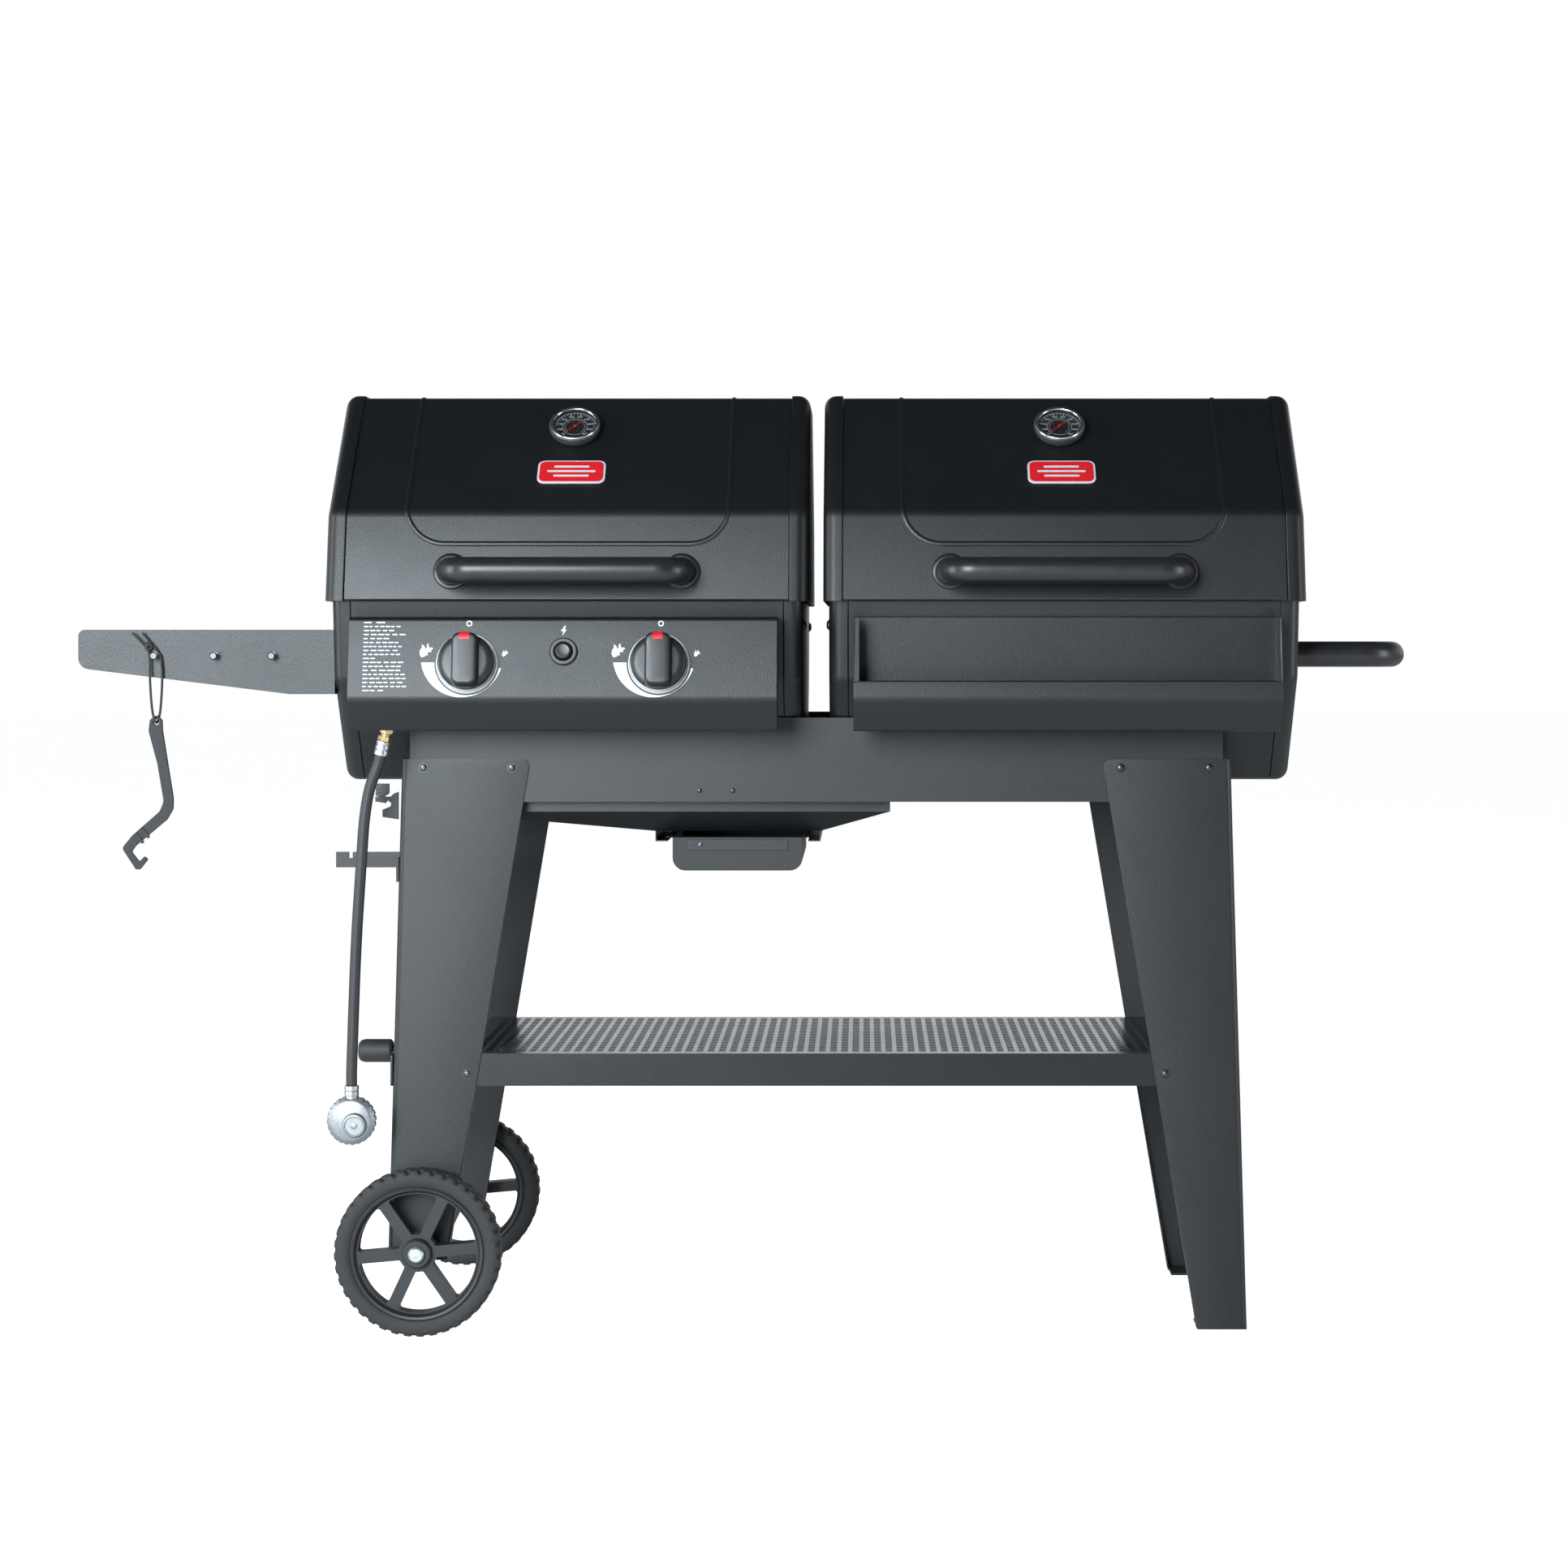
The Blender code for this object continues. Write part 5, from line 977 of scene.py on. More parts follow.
def make_knob(side, x):
    """Gas knob: thin bezel, round base, tapered grip and red pointer."""
    seat = panel_facing(x, KNOB_HEIGHT)
    bm = bmesh.new()
    profile = [
        (30 * MM, 0.2 * MM), (37 * MM, 0.2 * MM), (37 * MM, 1.2 * MM), (36.6 * MM, 1.8 * MM),
        (35.6 * MM, 1.8 * MM), (35 * MM, 0.9 * MM), (30 * MM, 0.9 * MM),
    ]
    turn(bm, profile, seat, 96, bored=True)
    place(shape(f"knob_{side}_bezel", bm), silver_paint, "cart", "bright_steel", bevel=0.15 * MM)
    body = "knob_" + side
    bm = bmesh.new()
    profile = [
        (29 * MM, 7 * MM), (33 * MM, 7.6 * MM), (33.8 * MM, 9 * MM), (33.6 * MM, 14.5 * MM),
        (32.4 * MM, 17 * MM), (30 * MM, 18.6 * MM), (24 * MM, 19.2 * MM),
    ]
    turn(bm, profile, seat, 96)
    place(shape(f"knob_{side}_disc", bm), knob_black, body, "knob_plastic", ["knob_" + side], bevel=0.4 * MM)
    bm = bmesh.new()
    rings = []
    for height, width, length in (
        (16, 33, 67), (22, 32, 66.5), (28, 30.5, 65), (32.4, 29, 62.5), (34.2, 26, 58.5), (34.6, 20, 50),
    ):
        outline = plate(width * MM, length * MM, width * 0.3 * MM, steps=8)
        rings.append([seat.at(p.x, p.y, height * MM) for p in outline])
    loft(bm, rings)
    place(shape(f"knob_{side}_grip", bm), knob_black, body, "knob_plastic", bevel=0.5 * MM)
    bm = bmesh.new()
    rings = []
    for rise, out, width in (
        (34.2, 21, 5.6), (33.4, 28.6, 5.7), (32, 32.8, 5.8), (29.8, 34.6, 6), (26.6, 35.2, 6.2),
        (23, 35.3, 6.4),
    ):
        reach = [(-width, out), (width, out), (width, out - 3), (-width, out - 3)]
        rings.append([seat.at(across * MM, rise * MM, height * MM) for across, height in reach])
    loft(bm, rings)
    place(shape(f"knob_{side}_mark", bm), red_enamel, body, "needle_red", bevel=0.3 * MM)


def make_igniter(x):
    """Push button in a plain collar."""
    seat = panel_facing(x, IGNITER_HEIGHT)
    bm = bmesh.new()
    profile = [
        (11 * MM, 0.2 * MM), (17 * MM, 0.2 * MM), (17 * MM, 2.4 * MM), (15.6 * MM, 4 * MM),
        (12 * MM, 4 * MM), (11 * MM, 3 * MM),
    ]
    turn(bm, profile, seat, 64, bored=True)
    place(shape("igniter_collar", bm), knob_black, "cart", "knob_plastic", bevel=0.3 * MM)
    bm = bmesh.new()
    profile = [
        (10 * MM, -10 * MM), (10 * MM, 6.6 * MM), (9.4 * MM, 8.2 * MM), (7.6 * MM, 9 * MM),
        (5 * MM, 8.6 * MM),
    ]
    turn(bm, profile, seat, 64)
    place(
        shape("igniter_cap", bm), knob_black, "igniter_button", "knob_plastic", ["igniter_button"],
        bevel=0.3 * MM,
    )


FLAME = [
    (-6, -8), (-8.5, -4), (-8, 1), (-5.5, 5), (-5.8, 9), (-2.5, 6.5), (-1.2, 2.5), (0.6, 5), (0.4, 8.5),
    (3, 10), (2.6, 6.5), (5, 4), (7, 5), (8.5, 3.2), (6, 1.6), (6.4, -1.5), (4, -0.5), (1.2, -2.5),
    (2.6, -5.6), (0.5, -4.6), (-2.2, -7),
]


def add_word_rows(bm, block, low, high):
    """Rows of short dashes in place of small print."""
    rows = (
        (30, 2), (46, 7), (38, 5), (52, 6), (32, 4), (45, 6), (48, 8), (44, 5), (46, 7), (18, 2), (50, 6),
        (47, 7), (49, 5), (52, 8), (55, 7), (50, 6), (54, 8), (28, 3),
    )
    for index, (length, words) in enumerate(rows):
        rise = 41 - index * 4.9
        place_x = -29.0
        for word in range(words):
            span = length / words * (0.62 + 0.2 * ((index * 3 + word * 5) % 4) / 2)
            span = min(span, length / words - 1.2)
            press(
                bm, plate(span * MM, 1.5 * MM, 0.5 * MM, ((place_x + span / 2) * MM, rise * MM), 3), block,
                low, high,
            )
            place_x += length / words


def make_panel_marks(knob_places, button_x):
    """White prints round the controls: off rings, output wedges, flames, a spark and rows of dashes."""
    bm = bmesh.new()
    low, high = PANEL_PRINT
    for x in knob_places:
        seat = panel_facing(x, KNOB_HEIGHT)
        ring = seat.moved(2 * MM, 49 * MM)
        turn(bm, [(2.2 * MM, low), (3.6 * MM, low), (3.6 * MM, high), (2.2 * MM, high)], ring, 32, bored=True)
        outer = circle(49.4 * MM, 40, math.radians(188), math.radians(155), (-6 * MM, 8 * MM))
        inner = circle(39 * MM, 40, math.radians(-8), math.radians(-173.5))
        press(bm, outer + inner, seat, low, high)
        for across, rise, size in ((-49, 15, 0.95), (46, 12, 0.45)):
            outline = [(px * size * MM, py * size * MM) for px, py in FLAME]
            press(bm, outline, seat.moved(across * MM, rise * MM), low, high)
    spark = panel_facing(button_x, IGNITER_HEIGHT).moved(0, 26 * MM)
    bolt = [(1, 6), (-3.4, -0.5), (-0.6, -0.5), (-1.6, -6), (3.4, 1.2), (0.8, 1.2), (2.6, 6)]
    press(bm, [(px * MM, py * MM) for px, py in bolt], spark, low, high)
    add_word_rows(bm, panel_facing(PANEL_LOW.x + 47 * MM, 830 * MM), low, high)
    place(shape("panel_prints", bm), white_print, "cart", "knob_plastic")


def make_front_tray():
    """Open tray in front of the charcoal tub, with a rolled lip."""
    low, high = corners("front_tray")
    outline = front_box_outline()
    bend, top = Vector(outline[2]), Vector(outline[1])
    lip = bend.lerp(top, 20 / 99)
    points = outline[:2] + [tuple(lip)] + outline[2:]
    section = fillet(points, [0, 0, 0, 16 * MM, 7 * MM, 0], 8)
    bm = bmesh.new()
    loft(bm, [along_x(section, low.x), along_x(section, high.x)])
    outwards(bm)
    open_faces = []
    for face in bm.faces:
        above = face.calc_center_median().z > lip.y
        if face.normal.z > 0.9 or (above and face.normal.y < -0.9):
            open_faces.append(face)
    bmesh.ops.delete(bm, geom=open_faces, context="FACES")
    tray = shape("front_tray_sheet", bm)
    wall(tray)
    place(tray, powder, "cart", "black_powder_coat", ["front_tray"], bevel=0.5 * MM)
    bm = bmesh.new()
    for start, finish in ((low.x + 0.2 * MM, low.x + 7 * MM), (high.x - 7 * MM, high.x - 0.2 * MM)):
        edge = ribbon([(top.x, top.y - 1 * MM), (lip.x, lip.y + 1 * MM)], 1.2 * MM)
        edge = [(y + 1.2 * MM, z) for y, z in edge]
        loft(bm, [along_x(edge, start), along_x(edge, finish)])
    place(shape("front_tray_edges", bm), powder_cart, "cart", "black_powder_coat", bevel=0.3 * MM)
    bm = bmesh.new()
    sweep(
        bm,
        [
            Vector((low.x + 2 * MM, lip.x + 2.4 * MM, lip.y)),
            Vector((high.x - 2 * MM, lip.x + 2.4 * MM, lip.y)),
        ],
        2.4 * MM, 16,
    )
    place(shape("front_tray_rolled_lip", bm), powder, "cart", "black_powder_coat")


# ---------------------------------------------------------------- cart
LEG_TOP, LEG_TOP_OUTER, LEG_TOP_INNER = 703, 511, 352
LEG_FOOT_OUTER, LEG_FOOT_INNER = 531, 469
LEG_FACE = 211.8
LEG_CORNER = 12


def leg_edges(height):
    """Outer and inner edge of a leg's front face at a height."""
    share = height / LEG_TOP
    return (LEG_FOOT_OUTER + (LEG_TOP_OUTER - LEG_FOOT_OUTER) * share,
            LEG_FOOT_INNER + (LEG_TOP_INNER - LEG_FOOT_INNER) * share)


def make_leg(name, side, end):
    """Splayed sheet leg with a rounded top corner, its outer flange and its return."""
    low, high = corners(name)
    bottom = max(low.z / MM, 0.4)
    rings = []
    curve_start = LEG_TOP - LEG_CORNER
    heights = [bottom, 299, 343, 646, 660, curve_start]
    heights += [curve_start + LEG_CORNER * math.sin(math.radians(10 * step)) for step in range(1, 9)]
    for height in heights:
        outer, inner = leg_edges(height)
        rise = max(0.0, height - curve_start)
        inner += LEG_CORNER - math.sqrt(LEG_CORNER ** 2 - rise ** 2)
        deep = 60 if height < 650 else 35
        back = 20 if height < 640 else 1.6
        near_shelf = 299 <= height <= 343
        corners_here = [
            (outer, LEG_FACE - deep), (outer, LEG_FACE), (inner, LEG_FACE), (
                inner, LEG_FACE - (1.6 if near_shelf else back),
            ),
        ]
        bend_back = 4 if back > 5 and not near_shelf else 0.6
        section = fillet(corners_here, [0, 8, bend_back, 0], 6)
        rings.append([cart(side * p.x, end * p.y, height) for p in section])
    bm = bmesh.new()
    loft(bm, rings, closed=False, caps=(False, False))
    leg = shape(name + "_sheet", bm)
    wall(leg)
    if low.z < 10 * MM:
        foot = bmesh.new()
        xs = sorted((side * (LEG_FOOT_INNER + 0.8), side * (LEG_FOOT_OUTER - 0.8)))
        ys = sorted((end * (LEG_FACE - 0.8), end * (LEG_FACE - 59)))
        rect = [cart(xs[0], ys[0], 0), cart(xs[1], ys[0], 0), cart(xs[1], ys[1], 0), cart(xs[0], ys[1], 0)]
        loft(foot, [rect, [p + Vector((0, 0, 3 * MM)) for p in rect]])
        place(shape(name + "_foot", foot), powder_cart, "cart", "black_powder_coat", bevel=0.4 * MM)
    place(leg, powder_cart, "cart", "black_powder_coat", [name], bevel=0.35 * MM)
    bm = bmesh.new()
    for x, z in ((375, 692), (484, 692), (430, 315)):
        seat = Facing(cart(side * x, end * LEG_FACE, z), (0, 0, 1), (0, end, 0))
        add_bolt(bm, seat, 4.6 * MM)
    place(shape(name + "_screws", bm), screw_black, "cart", "galvanised_steel", bevel=0.25 * MM)


def make_bottom_shelf():
    """Perforated shelf: rows of short slots punched in columns, with a turned-down flange along its front and
    back edges.
    """
    low, high = SHELF_LOW, SHELF_HIGH
    pitch_x, pitch_y, slot_x, slot_y = 13.8 * MM, 13.2 * MM, 8.4 * MM, 8.6 * MM
    margin = 14 * MM
    count_x = int((high.x - low.x - 2 * margin) / pitch_x)
    count_y = int((high.y - low.y - 2 * margin) / pitch_y)
    first_x = (low.x + high.x) / 2 - (count_x * pitch_x - (pitch_x - slot_x)) / 2
    first_y = (low.y + high.y) / 2 - (count_y * pitch_y - (pitch_y - slot_y)) / 2
    xs = [low.x]
    for index in range(count_x):
        xs += [first_x + index * pitch_x, first_x + index * pitch_x + slot_x]
    xs.append(high.x)
    ys = [low.y]
    for index in range(count_y):
        ys += [first_y + index * pitch_y, first_y + index * pitch_y + slot_y]
    ys.append(high.y)
    bm = bmesh.new()
    grid = {}
    for i, x in enumerate(xs):
        for j, y in enumerate(ys):
            grid[i, j] = bm.verts.new((x, y, high.z))
    for i in range(len(xs) - 1):
        for j in range(len(ys) - 1):
            if i % 2 == 1 and j % 2 == 1:
                continue
            bm.faces.new((grid[i, j], grid[i + 1, j], grid[i + 1, j + 1], grid[i, j + 1]))
    for j, flip in ((0, False), (len(ys) - 1, True)):
        row = [grid[i, j] for i in range(len(xs))]
        below = [bm.verts.new((vert.co.x, vert.co.y, low.z)) for vert in row]
        for index in range(len(row) - 1):
            face = (row[index], below[index], below[index + 1], row[index + 1])
            bm.faces.new(face[::-1] if flip else face)
    shelf = shape("bottom_shelf_perforated", bm)
    wall(shelf)
    place(shelf, powder_shelf, "cart", "black_powder_coat", ["bottom_shelf"])


def make_wheel(name, end):
    """Spoked wheel with a treaded tyre and an axle cap."""
    low, high = corners(name)
    centre = (low + high) / 2
    seat = Facing(centre, (0, 0, 1), (0, end, 0))
    radius = (high.z - low.z) / 2
    half = 19 * MM
    bm = bmesh.new()
    section = [
        (5.3 * MM, half + 1.4 * MM), (15.5 * MM, half + 1.4 * MM), (17 * MM, half),
        (18.5 * MM, half - 8 * MM), (74 * MM, half - 8 * MM), (76 * MM, half - 5 * MM),
        (77 * MM, half - 1.4 * MM), (80 * MM, half - 0.6 * MM), (82 * MM, half - 2.5 * MM),
    ]
    profile = section + [(r, -h) for r, h in reversed(section)]
    turn(bm, profile, seat, 96, bored=True)
    disc = shape(name + "_disc", bm)
    windows = bmesh.new()
    spokes = 6
    inner, outer = 23 * MM, 72.5 * MM
    for spoke in range(spokes):
        start = math.radians(5) * -end + spoke * 2 * math.pi / spokes
        outline = []
        for r, count, back in ((inner, 5, False), (outer, 17, True)):
            lean = math.asin(7 * MM / r)
            arc = circle(r, count, start + lean, 2 * math.pi / spokes - 2 * lean)
            outline += arc[::-1] if back else arc
        radii = [2.5 * MM] + [0] * 3 + [2.5 * MM] + [3 * MM] + [0] * 15 + [3 * MM]
        outline = fillet(outline, radii, 5)
        press(windows, outline, seat, -2 * half, 2 * half)
    carve(disc, windows)
    place(disc, wheel_black, name, "wheel_plastic", [name], bevel=0.8 * MM)

    bm = bmesh.new()
    sides = 240
    lug = 3.2 * MM
    shoulders = [
        (81.5 * MM, half - 3 * MM, 0), (84 * MM, half - 1 * MM, 0), (90 * MM, half, 0),
        (96 * MM, half - 0.5 * MM, 0), (radius - 1.2 * MM, half - 3 * MM, lug),
        (radius, half - 6 * MM, lug), (radius, half - 12 * MM, lug),
        (radius - 0.4 * MM, half - 13 * MM, 0),
    ]
    profile = shoulders + [(r, -h, depth) for r, h, depth in reversed(shoulders)]
    rings = []
    for r, h, depth in profile:
        ring = []
        for index, p in enumerate(circle(1, sides)):
            reach = r - (depth if (index + (3 if h < 0 else 0)) % 6 >= 4 else 0)
            ring.append(seat.at(p.x * reach, p.y * reach, h))
        rings.append(ring)
    loops = loft(bm, rings, caps=(False, False))
    for index in range(sides):
        after = (index + 1) % sides
        bm.faces.new((loops[-1][index], loops[-1][after], loops[0][after], loops[0][index]))
    place(shape(name + "_tyre", bm), tyre_black, name, "wheel_plastic", sharp=35)

    bm = bmesh.new()
    profile = [
        (9.8 * MM, half + 2.6 * MM), (9.8 * MM, half + 4.8 * MM), (8.8 * MM, half + 6.8 * MM),
        (6 * MM, half + 8.2 * MM), (2.5 * MM, half + 8.6 * MM),
    ]
    turn(bm, profile, seat, 40)
    place(shape(name + "_axle_cap", bm), steel, "cart", "galvanised_steel", bevel=0.2 * MM)


def make_cart():
    """Legs, shelf and wheels, and the finish of the plain rails."""
    for name, side, end in (
        ("leg_front_left", -1, -1), ("leg_front_right", 1, -1), ("leg_rear_left", -1, 1),
        ("leg_rear_right", 1, 1),
    ):
        make_leg(name, side, end)
    make_bottom_shelf()
    make_wheel("wheel_front", -1)
    make_wheel("wheel_rear", 1)
    refinish(powder_cart, "front_apron", "rear_apron", "end_rail_left", "end_rail_right", "tank_hanger")
    refinish(zinc, "wheel_axle")
    bm = bmesh.new()
    for x in (-144, -103):
        add_bolt(bm, Facing(cart(x, -210, 664), (0, 0, 1), (0, -1, 0)), 3 * MM)
    place(shape("grease_tray_rivets", bm), screw_black, "cart", "galvanised_steel", bevel=0.2 * MM)


def make_hose_clip():
    """Folded clip under the gas tub's left end that steadies the hose."""
    bm = bmesh.new()
    for outline, y in (
        ([(-545, 672), (-545, 657), (-535, 655), (-528, 660), (-528, 672)], -196),
        ([(-545, 656), (-545, 650), (-532, 648), (-526, 656), (-532, 656)], -199),
        (
            [
                (-516, 662), (-522, 660), (-530, 652), (-525, 648), (-526, 644), (-536, 640), (-536, 631),
                (-516, 628),
            ],
            -200,
        ),
    ):
        loft(bm, [[cart(x, place_y, z) for x, z in outline] for place_y in (y - 2, y + 2)])
    place(shape("hose_clip", bm), powder, "cart", "black_powder_coat", bevel=0.6 * MM)


def make_tank_rest():
    """Crossbar with a rubber bumper on a bushed stud."""
    low, high = corners("tank_rest")
    bar_right = high.x
    middle = (low + high) / 2
    bm = bmesh.new()
    seat = Facing(Vector((bar_right - 1.5 * MM, CART.y, middle.z)), (0, 0, 1), (-1, 0, 0))
    press(bm, plate(410 * MM, high.z - low.z, 4 * MM), seat, -1.5 * MM, 1.5 * MM)
    place(shape("tank_rest_bar", bm), powder_cart, "cart", "black_powder_coat", ["tank_rest"], bevel=0.6 * MM)
    reach = bar_right - low.x
    bm = bmesh.new()
    profile = [
        (7 * MM, 1.6 * MM), (7 * MM, reach - 47 * MM), (12 * MM, reach - 46 * MM),
        (15 * MM, reach - 43 * MM), (15 * MM, reach - 10 * MM), (13.5 * MM, reach - 5 * MM),
        (10 * MM, reach - 2 * MM), (5 * MM, reach - 1.5 * MM),
    ]
    turn(bm, profile, seat, 40)
    place(shape("tank_rest_bumper", bm), bumper_rubber, "cart", "hose_rubber", bevel=0.4 * MM)


# ---------------------------------------------------------------- sides
def make_side_shelf():
    """Folded side shelf with three peg hooks."""
    low, high = corners("side_shelf")
    front = CART.y - 230 * MM
    back = CART.y + 230 * MM
    points = [
        (high.x, high.z), (low.x, high.z), (low.x, high.z - 47 * MM), (CART.x - 646 * MM, low.z),
        (high.x, low.z),
    ]
    section = fillet(points, [0, 8 * MM, 14 * MM, 6 * MM, 0], 8)
    bm = bmesh.new()
    loft(bm, [[Vector((p.x, y, p.y)) for p in section] for y in (front, back)])
    outwards(bm)
    under = [face for face in bm.faces if face.normal.z < -0.2 and abs(face.normal.y) < 0.5]
    bmesh.ops.delete(bm, geom=under, context="FACES")
    edges = []
    for edge in bm.edges:
        if len(edge.link_faces) == 2 and abs(abs(edge.calc_face_angle(0)) - math.radians(90)) < 0.1:
            first, second = (vert.co for vert in edge.verts)
            if abs(first.y - second.y) < MM and abs(first.x - second.x) > MM:
                edges.append(edge)
    bmesh.ops.bevel(bm, geom=edges, offset=4 * MM, segments=5, affect="EDGES", clamp_overlap=True)
    item = shape("side_shelf_sheet", bm)
    wall(item)
    place(item, powder, "cart", "black_powder_coat", ["side_shelf"], bevel=0.35 * MM)
    bm = bmesh.new()
    for x in (-810, -737, -666):
        seat = Facing(cart(x, -230, 830), (0, 0, 1), (0, -1, 0))
        profile = [
            (5 * MM, 0.1 * MM), (5 * MM, 1.2 * MM), (2.5 * MM, 1.4 * MM), (2.5 * MM, 11 * MM),
            (4.6 * MM, 11.4 * MM), (4.8 * MM, 12.6 * MM), (3.6 * MM, 13.8 * MM),
        ]
        turn(bm, profile, seat, 32)
    place(shape("side_shelf_peg_set", bm), screw_black, "cart", "bright_steel", bevel=0.2 * MM)


def make_side_handle():
    """Bent tube at the charcoal barrel's end, with two bezels."""
    low, high = corners("side_handle")
    reach = high.x - 16 * MM
    z = (low.z + high.z) / 2
    half = 150 * MM
    points = [(low.x, -half), (reach, -half), (reach, half), (low.x, half)]
    path = bent_bar([Vector((x, CART.y + y, z)) for x, y in points], 45 * MM)
    bm = bmesh.new()
    sweep(bm, path, 16 * MM, 32)
    place(shape("side_handle_bar", bm), satin, "cart", "black_tube", ["side_handle"])
    for label, y in (("front", -half), ("rear", half)):
        bm = bmesh.new()
        seat = Facing(Vector((low.x, CART.y + y, z)), (0, 0, 1), (1, 0, 0))
        profile = [
            (16.3 * MM, 0), (23 * MM, 0), (23 * MM, 2.4 * MM), (21 * MM, 5 * MM), (16.3 * MM, 5.6 * MM),
        ]
        turn(bm, profile, seat, 48, bored=True)
        place(shape(f"side_handle_bezel_{label}", bm), satin, "cart", "black_tube", bevel=0.6 * MM)


def make_lifter():
    """Cast grate lifter with a rounded hook, and the lanyard that it hangs on."""
    shank = [(-805, 758), (-814, 752), (-815.5, 738), (-805, 699), (-797, 652), (-802, 640), (-836, 610)]
    claw = [
        (-848, 595), (-831, 569), (-826, 569), (-816.5, 581), (-820.5, 585), (-827, 578.5),
        (-836.5, 590.5),
    ]
    heel = [(-831.5, 597.5), (-793, 630), (-785.5, 643), (-785.5, 657), (-798.5, 738), (-799, 751)]
    shank_radii = [3, 5, 8, 0, 14, 6, 0]
    claw_radii = [5, 1.5, 1.5, 1, 1, 2, 3]
    heel_radii = [3, 0, 12, 12, 0, 3]
    outline = fillet(shank + claw + heel, shank_radii + claw_radii + heel_radii, 6)
    back, thick = -240, 6
    bm = bmesh.new()
    loft(bm, [[cart(p.x, y, p.y) for p in outline] for y in (back - thick, back)])
    lifter = shape("grate_lifter_casting", bm)
    eye = bmesh.new()
    seat = Facing(cart(-806, back - thick / 2, 749), (0, 0, 1), (0, -1, 0))
    turn(eye, [(3.6 * MM, -10 * MM), (3.6 * MM, 10 * MM)], seat, 24)
    carve(lifter, eye)
    ribs = bmesh.new()
    for x, z in ((-826.5, 607), (-819.5, 613.5)):
        lug = Facing(cart(x, back - thick, z), (0.75, 0, 0.66), (0, -1, 0))
        press(ribs, plate(15 * MM, 4 * MM, 1 * MM), lug, -1 * MM, 1.6 * MM)
    carve(lifter, ribs, "UNION")
    place(lifter, iron, "grate_lifter", "cast_iron", ["grate_lifter"], bevel=0.9 * MM, segments=3)

    cord = [
        (-837, -238, 858), (-828, -238, 849), (-819, -238, 839), (-816, -237, 828), (-815, -239, 800),
        (-812, -245, 772), (-808.5, -251, 757), (-806, -250, 749.5), (-806, -243, 748.5),
        (-806, -236, 750), (-803, -235, 765), (-801, -235, 800), (-802.5, -235, 826),
        (-807, -235, 836), (-815, -235.5, 846), (-825, -236, 858),
    ]
    path = smooth_path([cart(*spot) for spot in cord], 3 * MM)
    bm = bmesh.new()
    sweep(bm, path, 1.5 * MM, 12)
    lanyard = place(shape("lanyard_cord_run", bm), braid, "grate_lifter", "lanyard_cord", ["lanyard"])
    bm = bmesh.new()
    for lean, rise in ((0.5, 0), (-0.5, 1.5)):
        loop = []
        for step in range(20):
            angle = 2 * math.pi * step / 20
            loop.append(cart(
                -816.5 + 3.4 * math.cos(angle), -238.5 - 2.3 * math.sin(angle),
                841 + rise + 3.2 * math.sin(angle + lean),
            ))
        sweep(bm, loop, 1.5 * MM, 12, cyclic=True)
    knot = place(shape("lanyard_knot", bm), braid, "grate_lifter", "lanyard_cord")
    total = sum((b - a).length for a, b in zip(path, path[1:]))


